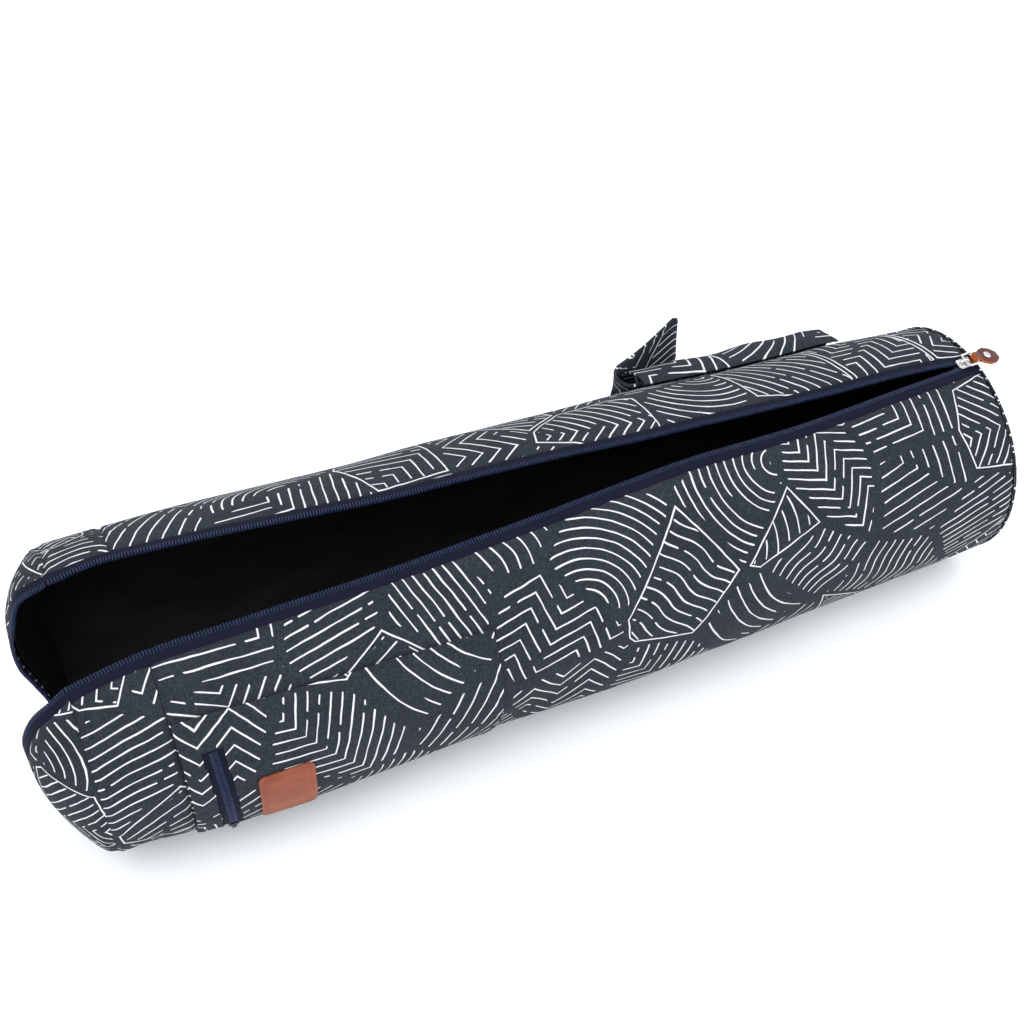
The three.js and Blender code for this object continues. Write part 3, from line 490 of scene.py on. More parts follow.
class Nodes:
    """Short calls for a material's node tree."""

    def __init__(self, name):
        self.material = bpy.data.materials.new(name)
        self.material.use_nodes = True
        self.tree = self.material.node_tree
        self.shader = self.tree.nodes["Principled BSDF"]
        self.output = self.tree.nodes["Material Output"]

    def add(self, kind, inputs=None, **settings):
        node = self.tree.nodes.new(kind)
        for key, value in settings.items():
            setattr(node, key, value)
        for key, value in (inputs or {}).items():
            self.put(node.inputs[key], value)
        return node

    def put(self, socket, value):
        if isinstance(value, bpy.types.NodeSocket):
            self.tree.links.new(value, socket)
        else:
            socket.default_value = value

    def math(self, operation, *values):
        node = self.add("ShaderNodeMath", operation=operation)
        for socket, value in zip(node.inputs, values):
            self.put(socket, value)
        return node.outputs[0]

    def vector(self, operation, *values):
        node = self.add("ShaderNodeVectorMath", operation=operation)
        for socket, value in zip(node.inputs, values):
            self.put(socket, value)
        return node.outputs[0]

    def mix(self, share, a, b):
        node = self.add("ShaderNodeMix", data_type="RGBA")
        self.put(node.inputs[0], share)
        self.put(node.inputs[6], a)
        self.put(node.inputs[7], b)
        return node.outputs[2]

    def between(self, value, low, high, to_low=0.0, to_high=1.0):
        node = self.add("ShaderNodeMapRange", clamp=True)
        names = ("Value", "From Min", "From Max", "To Min", "To Max")
        for key, wanted in zip(names, (value, low, high, to_low, to_high)):
            self.put(node.inputs[key], wanted)
        return node.outputs[0]

    def split(self, vector):
        return self.add("ShaderNodeSeparateXYZ", {"Vector": vector}).outputs

    def noise(self, vector, scale, detail=2.0, roughness=0.5, flat=False):
        node = self.add("ShaderNodeTexNoise", {"Vector": vector}, noise_dimensions="2D" if flat else "3D")
        node.inputs["Scale"].default_value = scale
        node.inputs["Detail"].default_value = detail
        node.inputs["Roughness"].default_value = roughness
        return node.outputs[0]

    def bump(self, height, strength, distance, normal=None):
        node = self.add("ShaderNodeBump", {"Height": height, "Strength": strength, "Distance": distance})
        if normal is not None:
            self.put(node.inputs["Normal"], normal)
        return node.outputs[0]

    def finish(self, colour, rough, normal=None, **plain):
        self.put(self.shader.inputs["Base Color"], colour)
        self.put(self.shader.inputs["Roughness"], rough)
        if normal is not None:
            self.put(self.shader.inputs["Normal"], normal)
        for key, value in plain.items():
            self.shader.inputs[key.replace("_", " ")].default_value = value
        return self.material


LINE_WIDTH = 1.02
CELL = 68.0


def print_mask(n, chart):
    """White line drawing in patches: strokes, nested points, arcs and waves, all at random."""
    unsteady = {"Vector": chart, "Scale": 60.0, "Detail": 1.0}
    wobble = n.add("ShaderNodeTexNoise", unsteady, noise_dimensions="2D")
    sideways = n.vector("SUBTRACT", wobble.outputs[1], (0.5, 0.5, 0.5))
    drawn = n.vector("ADD", chart, n.vector("SCALE", sideways))
    drawn.node.inputs[1].links[0].from_node.inputs["Scale"].default_value = 0.0013
    scaled = n.vector("SCALE", drawn)
    scaled.node.inputs["Scale"].default_value = 1000 / CELL
    patches = {"Vector": scaled, "Scale": 1.0}
    cells = n.add("ShaderNodeTexVoronoi", patches, voronoi_dimensions="2D", feature="F1")
    rims = n.add("ShaderNodeTexVoronoi", patches, voronoi_dimensions="2D", feature="DISTANCE_TO_EDGE")
    rim = n.math("MULTIPLY", rims.outputs["Distance"], CELL)
    local = n.vector("SCALE", n.vector("SUBTRACT", scaled, cells.outputs["Position"]))
    local.node.inputs["Scale"].default_value = CELL
    at = n.split(local)
    pick = n.add("ShaderNodeSeparateColor", {"Color": cells.outputs["Color"]}).outputs
    turn = n.math("MULTIPLY", pick[0], 2 * pi)
    c = n.math("COSINE", turn)
    s = n.math("SINE", turn)
    u = n.math("ADD", n.math("MULTIPLY", at[0], c), n.math("MULTIPLY", at[1], s))
    v = n.math("SUBTRACT", n.math("MULTIPLY", at[1], c), n.math("MULTIPLY", at[0], s))
    spacing = n.math("MULTIPLY_ADD", pick[1], 3.0, 6.2)
    points = n.math("ADD", n.math("MULTIPLY", n.math("ABSOLUTE", u), 0.64), n.math("MULTIPLY", v, 0.77))
    steps = n.math("MULTIPLY", n.math("PINGPONG", u, 21.0), 0.7)
    peaks = n.math("ADD", steps, n.math("MULTIPLY", v, 0.71))
    shift = n.math("ADD", u, n.math("MULTIPLY_ADD", pick[1], 45.0, 38.0))
    arcs = n.math("SQRT", n.math("ADD", n.math("MULTIPLY", shift, shift), n.math("MULTIPLY", v, v)))
    waves = n.math("ADD", v, n.math("MULTIPLY", n.math("SINE", n.math("DIVIDE", u, 6.5)), 1.7))
    # Each kind takes the cells whose third number lies above its limit
    run = v
    for kind, limit in ((points, 0.22), (peaks, 0.48), (arcs, 0.76), (waves, 0.9)):
        chosen = n.math("GREATER_THAN", pick[2], limit)
        mix = n.add("ShaderNodeMix", data_type="FLOAT")
        n.put(mix.inputs[0], chosen)
        n.put(mix.inputs[2], run)
        n.put(mix.inputs[3], kind)
        run = mix.outputs[0]
    row = n.math("DIVIDE", run, spacing)
    middle = n.math("ABSOLUTE", n.math("SUBTRACT", n.math("FRACT", row), 0.5))
    away = n.math("MULTIPLY", middle, spacing)
    stroke = n.math("FLOOR", row)
    seeds = {"Vector": cells.outputs["Color"], "W": stroke}
    dice = n.add("ShaderNodeTexWhiteNoise", seeds, noise_dimensions="4D")
    length = n.math("MULTIPLY_ADD", dice.outputs["Value"], 110.0, 44.0)
    along = n.math("DIVIDE", n.math("ADD", u, n.math("MULTIPLY", dice.outputs["Value"], 173.0)), length)
    off_middle = n.math("ABSOLUTE", n.math("SUBTRACT", n.math("FRACT", along), 0.5))
    gap = n.math("MULTIPLY", n.math("SUBTRACT", 0.5, off_middle), length)
    short = n.math("SUBTRACT", 2.6, gap)
    edge = n.math("SUBTRACT", n.math("MULTIPLY_ADD", dice.outputs["Value"], 3.0, 2.6), rim)
    past = n.math("MAXIMUM", n.math("MAXIMUM", short, edge), 0.0)
    reach = n.math("SQRT", n.math("ADD", n.math("MULTIPLY", away, away), n.math("MULTIPLY", past, past)))
    outlined = n.math("GREATER_THAN", pick[0], 0.7)
    hidden = n.math("MULTIPLY", n.math("SUBTRACT", 1.0, outlined), 9.0)
    border = n.math("ADD", n.math("ABSOLUTE", n.math("SUBTRACT", rim, 1.9)), hidden)
    nearest = n.math("MINIMUM", reach, border)
    thick = n.math("MULTIPLY_ADD", n.noise(chart, 45.0, 1.0, flat=True), 0.5, LINE_WIDTH / 2 - 0.25)
    return n.between(n.math("SUBTRACT", nearest, thick), -0.14, 0.14, 1.0, 0.0)


def printed_canvas():
    """Charcoal canvas with pale flecks, a plain weave and white printed lines."""
    n = Nodes("Printed canvas")
    c = colours()
    chart = n.add("ShaderNodeTexCoord").outputs["UV"]
    warp = n.noise(n.vector("MULTIPLY", chart, (1.0, 0.16, 1.0)), 1500.0, 2.0, flat=True)
    weft = n.noise(n.vector("MULTIPLY", chart, (0.16, 1.0, 1.0)), 1500.0, 2.0, flat=True)
    soft = n.noise(chart, 24.0, 3.0, flat=True)
    fleck = n.math("MAXIMUM", warp, weft)
    ground = n.mix(n.between(fleck, 0.5, 0.8), tuple(c.canvas), tuple(c.canvas_light))
    shade = n.mix(n.between(soft, 0.3, 0.7, 0.0, 0.35), ground, (0.011, 0.0145, 0.019, 1))
    mask = print_mask(n, chart)
    worn = n.math("MULTIPLY", mask, n.between(fleck, 0.45, 0.85, 1.0, 0.7))
    colour = n.mix(worn, shade, tuple(c.line))
    at = n.split(n.vector("SCALE", chart))
    at[0].node.inputs[0].links[0].from_node.inputs["Scale"].default_value = 2 * pi / 0.0009
    weave = n.math("MULTIPLY", n.math("SINE", at[0]), n.math("SINE", at[1]))
    low = n.bump(n.math("ADD", weave, fleck), 0.35, 0.00012)
    normal = n.bump(mask, 0.25, 0.0001, low)
    n.shader.inputs["Sheen Weight"].default_value = 0.02
    n.shader.inputs["Specular IOR Level"].default_value = 0.12
    return n.finish(colour, 0.88, normal)


def lining_cloth():
    n = Nodes("Lining")
    chart = n.add("ShaderNodeTexCoord").outputs["UV"]
    fold_height_and_shade = n.noise(n.vector("MULTIPLY", chart, (1.0, 2.2, 1.0)), 16.0, 3.0, flat=True)
    # The fold height also sets the colour: crests lighter and hollows darker, a painted shade
    colour = n.mix(n.between(fold_height_and_shade, 0.3, 0.8), tuple(colours().lining), (0.012, 0.0125, 0.015, 1))
    normal = n.bump(fold_height_and_shade, 0.5, 0.004)
    n.shader.inputs["Specular IOR Level"].default_value = 0.2
    return n.finish(colour, 0.7, normal)


def tape_cloth():
    """Navy tape with fine ribs along it."""
    n = Nodes("Zip tape")
    chart = n.add("ShaderNodeTexCoord").outputs["UV"]
    at = n.split(chart)
    ribs = n.math("SINE", n.math("MULTIPLY", at[1], 2 * pi / 0.0008))
    cross = n.math("SINE", n.math("MULTIPLY", at[0], 2 * pi / 0.0011))
    height = n.math("ADD", ribs, n.math("MULTIPLY", cross, 0.5))
    # The rib height also sets the colour: grooves darker and crests lighter, a painted shade
    shade = n.between(height, -1.5, 1.5, 0.0, 1.0)
    colour = n.mix(shade, tuple(colours().tape), (0.005, 0.008, 0.024, 1))
    n.shader.inputs["Specular IOR Level"].default_value = 0.15
    return n.finish(colour, 0.8, n.bump(height, 0.3, 0.0001))


def coil_nylon():
    n = Nodes("Zip coil")
    at = n.add("ShaderNodeTexCoord").outputs["Object"]
    tint = n.noise(at, 300.0, 2.0)
    colour = n.mix(n.between(tint, 0.3, 0.7), tuple(colours().coil), (0.02, 0.032, 0.085, 1))
    n.shader.inputs["Specular IOR Level"].default_value = 0.3
    return n.finish(colour, 0.42)


def leather(name, colour, dark, rough):
    """Smooth leather with fine pores and slow changes of tone."""
    n = Nodes(name)
    at = n.add("ShaderNodeTexCoord").outputs["Object"]
    tone = n.noise(at, 70.0, 3.0)
    pores = n.add("ShaderNodeTexVoronoi", {"Vector": at, "Scale": 1500.0}).outputs["Distance"]
    shade = n.mix(n.between(tone, 0.25, 0.75), dark, colour)
    flecked = n.mix(n.between(pores, 0.0, 0.3, 0.25, 0.0), shade, dark)
    normal = n.bump(n.math("ADD", pores, n.noise(at, 500.0, 3.0)), 0.35, 0.0002)
    n.shader.inputs["Specular IOR Level"].default_value = 0.3
    return n.finish(flecked, rough, normal)


def nickel():
    n = Nodes("Nickel")
    at = n.add("ShaderNodeTexCoord").outputs["Object"]
    worn = n.between(n.noise(at, 260.0, 3.0), 0.3, 0.7, 0.16, 0.3)
    n.shader.inputs["Metallic"].default_value = 1.0
    return n.finish((0.72, 0.71, 0.69, 1), worn)


def painted_metal():
    n = Nodes("Painted metal")
    at = n.add("ShaderNodeTexCoord").outputs["Object"]
    tone = n.between(n.noise(at, 400.0, 2.0), 0.3, 0.7, 0.3, 0.5)
    n.shader.inputs["Specular IOR Level"].default_value = 0.4
    return n.finish((0.05, 0.055, 0.085, 1), tone)


MATERIALS = {}


def material(name):
    """Each material is made when its first piece asks for it."""
    c = colours()
    makers = {
        "canvas": printed_canvas,
        "lining": lining_cloth,
        "tape": tape_cloth,
        "coil": coil_nylon,
        "nickel": nickel,
        "painted metal": painted_metal,
        "patch": lambda: leather("Patch leather", tuple(c.patch), (0.19, 0.042, 0.018, 1), 0.55),
        "pull": lambda: leather("Pull leather", tuple(c.pull), (0.06, 0.011, 0.007, 1), 0.35),
        "raw edge": lambda: leather("Raw leather edge", (0.62, 0.15, 0.03, 1), (0.45, 0.09, 0.02, 1), 0.6),
        "thread": lambda: leather("Thread", tuple(c.thread), (0.42, 0.12, 0.05, 1), 0.6),
    }
    if name not in MATERIALS:
        MATERIALS[name] = makers[name]()
    return MATERIALS[name]


# Pieces


class Piece:
    """What the operators share."""

    bl_options = {"REGISTER", "UNDO"}


class MATBAG_OT_canvas_tube(Piece, bpy.types.Operator):
    """Canvas of the tube, in a long panel and a short band that meet at a seam"""

    bl_idname = "matbag.canvas_tube"
    bl_label = "Canvas tube"

    def execute(self, context):
        s = sizes()
        half = s.tube_length / 2
        seam = -half + s.band_length
        self.panel("Body panel", seam + s.seam_gap / 2, half - s.seam_gap / 2, 200, "body_panel", (0, 0))
        self.panel("Band panel", -half + s.seam_gap / 2, seam - s.seam_gap / 2, 26, "band_panel", (137, 61))
        return {"FINISHED"}

    def panel(self, name, low, high, rows, node, shift):
        def surface(u, v):
            x = low + (high - low) * crowded(v, 0.85)
            angle = angle_at(x, crowded(u, 0.6))
            arc = np.radians(angle) * s.open_radius
            dip = seam_dip(high - x, arc, 0.9) + seam_dip(x - low, arc + 5)
            zip_side = np.minimum(crowded(u, 0.6), 1 - crowded(u, 0.6)) * 2 * pi * s.open_radius
            dip = dip + 0.6 * seam_dip(zip_side, x)
            return on_tube(x, angle, dip)

        def chart(u, v):
            x = low + (high - low) * crowded(v, 0.85)
            return x + shift[0], np.radians(angle_at(x, crowded(u, 0.6))) * s.open_radius + shift[1]

        s = sizes()
        ob = cloth(name, 220, rows, surface, chart)
        finish(ob, material("canvas"), s.canvas, nodes=[node])


class MATBAG_OT_open_end(Piece, bpy.types.Operator):
    """Canvas of the open end, from its seam to the slit"""

    bl_idname = "matbag.open_end"
    bl_label = "Open end"

    def execute(self, context):
        s = sizes()
        total = 2 * pi * s.open_radius

        def surface(u, v):
            v = crowded(v, 0.7)
            grid = on_mouth(u, 1 - v)
            out = normals_of(grid)
            reach = (1 - v) * 60
            dip = seam_dip(reach, u * total) + 0.5 * seam_dip(v * 60, u * total)
            # Slack cloth between the seam and the slit
            held = np.sin(pi * v) * np.sin(pi * np.clip(u * 6, 0, 1) / 2)
            slack = 0.9 * np.sin(9 * u + 2.2 * v + 0.6) * held
            return grid + out * (dip + slack)[..., None]

        def chart(u, v):
            # Flattened towards the end, with the swelling unrolled outwards
            point = on_mouth(u, 1 - crowded(v, 0.7))
            y = point[..., 1] - float(drift_at(np.array(-s.tube_length / 2)))
            z = point[..., 2] - s.open_radius
            depth = point[..., 0] + s.tube_length / 2 + s.mouth_bulge
            wider = 1 + 0.75 * depth / np.maximum(np.hypot(y, z), 30)
            return y * wider + 412, z * wider + 97

        ob = cloth("Open end", 260, 60, surface, chart)
        finish(ob, material("canvas"), s.canvas, nodes=["end_cap_open"])
        return {"FINISHED"}


def end_disc(x, bulge, rim_out):
    """A round end: u goes round it and v from the rim to the middle."""
    s = sizes()
    half = s.tube_length / 2

    def surface(u, v):
        angle = zip_at(half) - 360 * u
        rim = on_tube(half - 0.01, angle, rim_out)
        middle = np.array([0, 0, s.closed_radius - s.floor_press])
        ring = 1 - v**1.5
        v = 1 - ring
        point = rim * ring[..., None] + middle * v[..., None]
        # A slight sag and a few soft creases that run in from the rim
        crease = 0.5 * np.sin(np.radians(angle) * 5 + 1) * ring**2 * v * 4
        dip = seam_dip((1 - ring) * s.closed_radius, angle * 1.5) * 0.5
        point[..., 0] = x + bulge * (1 - ring**2) + crease + dip
        return point

    return surface


def end_chart(u, v):
    angle = 2 * pi * u
    radius = sizes().closed_radius * (1 - v)
    return radius * np.cos(angle) + 711, radius * np.sin(angle) + 230


class MATBAG_OT_closed_end(Piece, bpy.types.Operator):
    """Canvas of the closed end"""

    bl_idname = "matbag.closed_end"
    bl_label = "Closed end"

    def execute(self, context):
        s = sizes()
        x = s.tube_length / 2 + s.seam_gap / 2 + s.canvas
        ob = cloth("Closed end", 180, 50, end_disc(x, s.end_bulge, 0), end_chart)
        turn_over(ob)
        finish(ob, material("canvas"), s.canvas, nodes=["end_cap_closed"], merge=True)
        return {"FINISHED"}


def turn_over(ob):
    alone(ob)
    bpy.ops.object.mode_set(mode="EDIT")
    bpy.ops.mesh.select_all(action="SELECT")
    bpy.ops.mesh.flip_normals()
    bpy.ops.object.mode_set(mode="OBJECT")


class MATBAG_OT_lining(Piece, bpy.types.Operator):
    """Black lining inside the tube, the open end and the closed end"""

    bl_idname = "matbag.lining"
    bl_label = "Lining"

    def execute(self, context):
        s = sizes()
        half = s.tube_length / 2
        inner = -s.canvas - s.seam_gap - 1.5
        mouth_x = -half - s.seam_gap / 2

        def wrinkle(x, angle):
            a = np.radians(angle)
            return -0.7 * np.abs(np.sin(x / 23 + 2 * np.sin(a * 2))) * np.abs(np.sin(a * 4 + x / 70))

        def tube(u, v):
            x = mouth_x - 2.5 + (half - 2 * s.seam_gap - mouth_x + 2.5) * v
            angle = angle_at(np.maximum(x, -half), u)
            edge = np.clip(np.minimum(u, 1 - u) * 40, 0, 1) * np.clip((x - mouth_x) / 12, 0, 1)
            return on_tube(x, angle, inner + wrinkle(x, angle) * edge - 0.3)

        def mouth(u, v):
            grid = on_mouth(u, 1 - v)
            return grid + normals_of(grid) * (inner - 0.2)

        chart = lambda u, v: (v * s.tube_length, u * 2 * pi * s.open_radius)
        ob = cloth("Lining", 160, 150, tube, chart)
        end = cloth("Lining of the open end", 160, 30, mouth, chart)
        for piece in (ob, end):
            finish(piece, material("lining"), 0.8)
        bpy.ops.object.select_all(action="DESELECT")
        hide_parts("lining")
        shape = end_disc(half - s.seam_gap, s.end_bulge, inner - 0.5)
        disc = cloth("Lining of the closed end", 120, 24, shape, end_chart)
        turn_over(disc)
        finish(disc, material("lining"), 0.8, nodes=["lining_end"], merge=True)
        return {"FINISHED"}


def zip_line(side, count=900):
    """The canvas's edge beside one side of the zip: places, the way along, across and out."""
    s = sizes()
    half = s.tube_length / 2
    x = np.linspace(half - s.seam_gap / 2, -half, count)
    angle = cut_at(side, x)
    tube = on_tube(x, angle, 0)
    a = np.radians(angle)
    out = np.stack([0 * a, -np.cos(a), np.sin(a)], -1)
    down = np.linspace(0, 13 / 30, 500)[1:]
    around = down if side > 0 else 1 - down
    slit = slit_at(around)
    inner = on_mouth(around, np.full_like(around, 0.97))
    way = unit(slit - inner)
    points = np.vstack([tube, slit])
    along = unit(np.gradient(points, axis=0))
    tube_across = np.stack([0 * a, np.sin(a), np.cos(a)], -1) * side
    across = np.vstack([tube_across, way])
    # The turn from the tube to the slit is drawn over a short stretch
    blend = np.ones(61) / 61
    padded = np.pad(across, ((30, 30), (0, 0)), mode="edge")
    across = unit(np.stack([np.convolve(padded[:, k], blend, mode="valid") for k in range(3)], -1))
    across = unit(across - (across * along).sum(-1, keepdims=True) * along)
    out = np.cross(across, along) * side
    run = np.r_[0, np.cumsum(np.linalg.norm(np.diff(points, axis=0), axis=1))]
    return points, along, across, out, run


def sampled(line, at):
    points, along, across, out, run = line
    pick = lambda rows: np.stack([np.interp(at, run, rows[:, k]) for k in range(3)], -1)
    return pick(points), unit(pick(along)), unit(pick(across)), unit(pick(out))


class MATBAG_OT_long_zip(Piece, bpy.types.Operator):
    """Both sides of the long zip: a ribbed tape and a coil of separate turns"""

    bl_idname = "matbag.long_zip"
    bl_label = "Long zip"

    def execute(self, context):
        for name, side in (("front", 1), ("back", -1)):
            self.side(name, side)
        return {"FINISHED"}

    def side(self, name, side):
        s = sizes()
        line = zip_line(side)
        total = line[4][-1]
        coil_from = s.seam_gap + s.tape_width + 0.6

        def tape(u, v):
            at, _, across, out = sampled(line, v[0] * total)
            width = (-1.4 + (coil_from + 2.4) * u)[..., None]
            # The first stretch lies under the canvas
            lift = (-0.45 - 1.6 * np.clip(1 - u * 4, 0, 1))[..., None]
            return at[None] + across[None] * width + out[None] * lift

        chart = lambda u, v: (v * total, u * coil_from)
        ob = cloth("Zip tape " + name, 8, 520, tape, chart)
        if side > 0:
            turn_over(ob)
        finish(ob, material("tape"), 0.7, nodes=["zip_tape_" + name])
        count = int(total / s.coil_pitch)
        at, along, across, out = sampled(line, (np.arange(count) + 0.5) * total / count)
        middle = at + across * (coil_from + s.coil_width / 2) + out * -0.65
        places = [place(x, y, z, p) for x, y, z, p in zip(across, unit(along + across * 0.12), out, middle)]
        teeth = copies("Zip coil " + name, bar(s.coil_width, s.coil_pitch * 0.66, 2.3, sides=8), places)
        finish(teeth, material("coil"), nodes=["zip_coil_" + name], smooth=60)
        # The cord that the turns are sewn round
        def cord(u, v):
            at, _, across, out = sampled(line, v[0] * total)
            sideways = coil_from + s.coil_width / 2 + 1.4 * np.cos(2 * pi * u)
            upwards = -0.65 + 0.6 * np.sin(2 * pi * u)
            return at[None] + across[None] * sideways[..., None] + out[None] * upwards[..., None]

        core = cloth("Zip cord " + name, 10, 520, cord, chart)
        finish(core, material("tape"), 0, smooth=60, merge=True)


def slider_place():
    s = sizes()
    x = s.tube_length / 2 - 9
    a = radians(float(zip_at(np.array(x))))
    rise = (band_width() - s.coil_width / 2) ** 2 / (2 * s.closed_radius)
    at = on_tube(np.array(x), np.array(np.degrees(a)), rise)
    return place((1, 0, 0), (0, sin(a), cos(a)), (0, -cos(a), sin(a)), at)


def turned(matrix, degrees):
    """The same place, its x axis raised by an angle."""
    a = radians(degrees)
    t = np.eye(4)
    t[:3, :3] = [[cos(a), 0, -sin(a)], [0, 1, 0], [sin(a), 0, cos(a)]]
    return matrix @ t


def moved(matrix, x=0.0, y=0.0, z=0.0):
    t = np.eye(4)
    t[:3, 3] = (x, y, z)
    return matrix @ t


def set_down(ob, matrix):
    """Puts a mesh modelled in millimetres at its place, in metres."""
    flat = np.empty(len(ob.data.vertices) * 3)
    ob.data.vertices.foreach_get("co", flat)
    points = np.c_[flat.reshape(-1, 3), np.ones(len(flat) // 3)] @ matrix.T
    ob.data.vertices.foreach_set("co", (points[:, :3] * MM).ravel())
    ob.data.update()
    return ob


def block(size, at, bevel=0.35, segments=3, shape=None):
    """A cube primitive shaped and rounded in edit mode, in millimetres."""
    bpy.ops.object.select_all(action="DESELECT")
    bpy.ops.mesh.primitive_cube_add(size=1)
    ob = bpy.context.object
    for v in ob.data.vertices:
        v.co = [c * k + m for c, k, m in zip(v.co, size, at)]
        if shape:
            v.co = shape(v.co)
    bpy.ops.object.mode_set(mode="EDIT")
    bpy.ops.mesh.select_all(action="SELECT")
    bpy.ops.mesh.bevel(offset=bevel, segments=segments, affect="EDGES")
    bpy.ops.object.mode_set(mode="OBJECT")
    return ob


def joined(name, pieces):
    alone(pieces[0])
    for ob in pieces[1:]:
        ob.select_set(True)
    if len(pieces) > 1:
        bpy.ops.object.join()
    ob = bpy.context.object
    ob.name = plain(name)
    return ob


def rod(radius, depth, at=(0, 0, 0), bevel=0.25, sides=28):
    bpy.ops.object.select_all(action="DESELECT")
    bpy.ops.mesh.primitive_cylinder_add(vertices=sides, radius=radius, depth=depth)
    ob = bpy.context.object
    for v in ob.data.vertices:
        v.co = v.co + Vector(at)
    bpy.ops.object.mode_set(mode="EDIT")
    bpy.ops.mesh.select_all(action="SELECT")
    if bevel:
        bpy.ops.mesh.bevel(offset=bevel, segments=3, affect="EDGES")
    bpy.ops.object.mode_set(mode="OBJECT")
    return ob


def loop(length, width, corner, wire, start=0.0):
    """A round wire bent to a rounded rectangle that starts at x = start, from a torus primitive."""
    bpy.ops.object.select_all(action="DESELECT")
    bpy.ops.mesh.primitive_torus_add(major_segments=64, minor_segments=12, major_radius=1, minor_radius=0.1)
    ob = bpy.context.object
    middle = start + length / 2
    for v in ob.data.vertices:
        angle = np.arctan2(v.co.y, v.co.x)
        off = (v.co.xy.length - 1) / 0.1
        c, n = cos(angle), sin(angle)
        power = 2 / (2 + 5 * (1 - 2 * corner / min(length, width)))
        x = np.sign(c) * abs(c) ** power * length / 2
        y = np.sign(n) * abs(n) ** power * width / 2
        way = Vector((c, n)).normalized()
        v.co = (middle + x + way.x * off * wire, y + way.y * off * wire, v.co.z / 0.1 * wire)
    return ob


class MATBAG_OT_zip_slider(Piece, bpy.types.Operator):
    """Slider of the long zip, with its bridge and the ring on it"""

    bl_idname = "matbag.zip_slider"
    bl_label = "Zip slider"

    def execute(self, context):
        narrow = lambda co: Vector((co.x, co.y * (1.0 if co.x > 0 else 0.72), co.z))
        top = block((11, 8.6, 1.2), (0, 0, 2.1), 0.5, shape=narrow)
        low = block((11, 8.6, 1.2), (0, 0, -3.4), 0.4, shape=narrow)
        post = block((1.6, 1.2, 5.4), (-4.6, 0, -0.6), 0.2)
        sides = [block((9, 0.8, 1.1), (0.3, y, 1.5), 0.25) for y in (-3.7, 3.7)]
        arch = loop(7.2, 3.6, 1.7, 0.65, -3.6)
        for v in arch.data.vertices:
            v.co = (v.co.x, v.co.z * 1.3, max(v.co.y, -1.6) + 3.6)
        ob = joined("Zip slider", [top, low, post, arch, *sides])
        set_down(ob, slider_place())
        finish(ob, material("nickel"), nodes=["zip_slider"], smooth=35)
        ring = joined("Pull ring", [loop(8.5, 10.4, 1.7, 0.9)])
        set_down(ring, ring_place())
        finish(ring, material("nickel"), nodes=["pull_ring"], smooth=60)
        return {"FINISHED"}


def ring_place():
    return turned(moved(slider_place(), 0.4, 0, 4.2), 3)


class MATBAG_OT_pull_tab(Piece, bpy.types.Operator):
    """Leather pull on the ring, with its raw edge and rivet"""

    bl_idname = "matbag.pull_tab"
    bl_label = "Pull tab"

    def execute(self, context):
        at = turned(moved(ring_place(), 8.5, 0, 0), -20)
        length = 22.0

        def half_width(t):
            keys = np.array([0, 0.14, 0.3, 0.52, 0.8, 1.0])
            values = np.array([3.1, 3.3, 5.6, 7.5, 6.3, 3.0])
            return np.interp(t, keys, values)

        def leaf(lift):
            def surface(u, v):
                y = (u - 0.5) * 2 * half_width(v)
                x = -1.6 + v * (length + 1.6)
                # The leather wraps the ring's bar and its two layers close beyond it
                z = lift * np.clip(1.6 - 1.2 * v * 4, 0.42, 1.6) + 0.3 * np.sin(pi * v)
                return np.stack([x, y, z + 0 * u], -1)

            return surface

        pieces = []
        for sign in (1, -1):
            ob = cloth("Pull layer", 12, 30, leaf(1.25 * sign), lambda u, v: (u * 15, v * 22))
            flat = np.empty(len(ob.data.vertices) * 3)
            ob.data.vertices.foreach_get("co", flat)
            ob.data.vertices.foreach_set("co", flat / MM)
            if sign < 0:
                turn_over(ob)
            alone(ob)
            solid = ob.modifiers.new("Thickness", "SOLIDIFY")
            solid.thickness = 1.35
            solid.offset = 0
            bpy.ops.object.modifier_apply(modifier=solid.name)
            soft = ob.modifiers.new("Edge", "BEVEL")
            soft.width = 0.35
            soft.segments = 2
            soft.limit_method = "ANGLE"
            bpy.ops.object.modifier_apply(modifier=soft.name)
            pieces.append(ob)
        wrap = rod(1.9, 6.2, sides=24, bevel=0.3)
        for v in wrap.data.vertices:
            v.co = (v.co.x - 0.2, v.co.z, v.co.y)
        pieces.append(wrap)
        ob = joined("Pull tab", pieces)
        turn_outwards(ob)
        set_down(ob, at)
        finish(ob, material("pull"), nodes=["pull_tab"], smooth=40)
        ob.data.materials.append(material("raw edge"))
        middle = at[:3, 2]
        for p in ob.data.polygons:
            if abs(np.dot(p.normal, middle)) < 0.35:
                p.material_index = 1
        rivet = [self.dome(10.6, 1.75), self.dome(10.6, -1.75), rod(1.2, 4.2, (10.6, 0, 0), 0, 16)]
        stud = joined("Pull rivet", rivet)
        set_down(stud, at)
        finish(stud, material("nickel"), nodes=["pull_rivet"], smooth=60)
        return {"FINISHED"}

    def dome(self, x, z):
        bpy.ops.object.select_all(action="DESELECT")
        bpy.ops.mesh.primitive_uv_sphere_add(segments=24, ring_count=12, radius=1)
        ob = bpy.context.object
        for v in ob.data.vertices:
            high = v.co.z if v.co.z * z > 0 else v.co.z * 0.2
            v.co = (v.co.x * 2.9 + x, v.co.y * 2.9, high + z)
        return ob


def turn_outwards(ob):
    alone(ob)
    bpy.ops.object.mode_set(mode="EDIT")
    bpy.ops.mesh.select_all(action="SELECT")
    bpy.ops.mesh.normals_make_consistent(inside=False)
    bpy.ops.object.mode_set(mode="OBJECT")


# Front pocket

POCKET = {"length": 200, "lift": 0.7, "cloth": 1.0, "top": 31, "top_far": 30, "bottom": -56}
POCKET_ZIP = {"from_seam": 24, "length": 95, "top": 18, "tape": 13.4, "coil": 5}


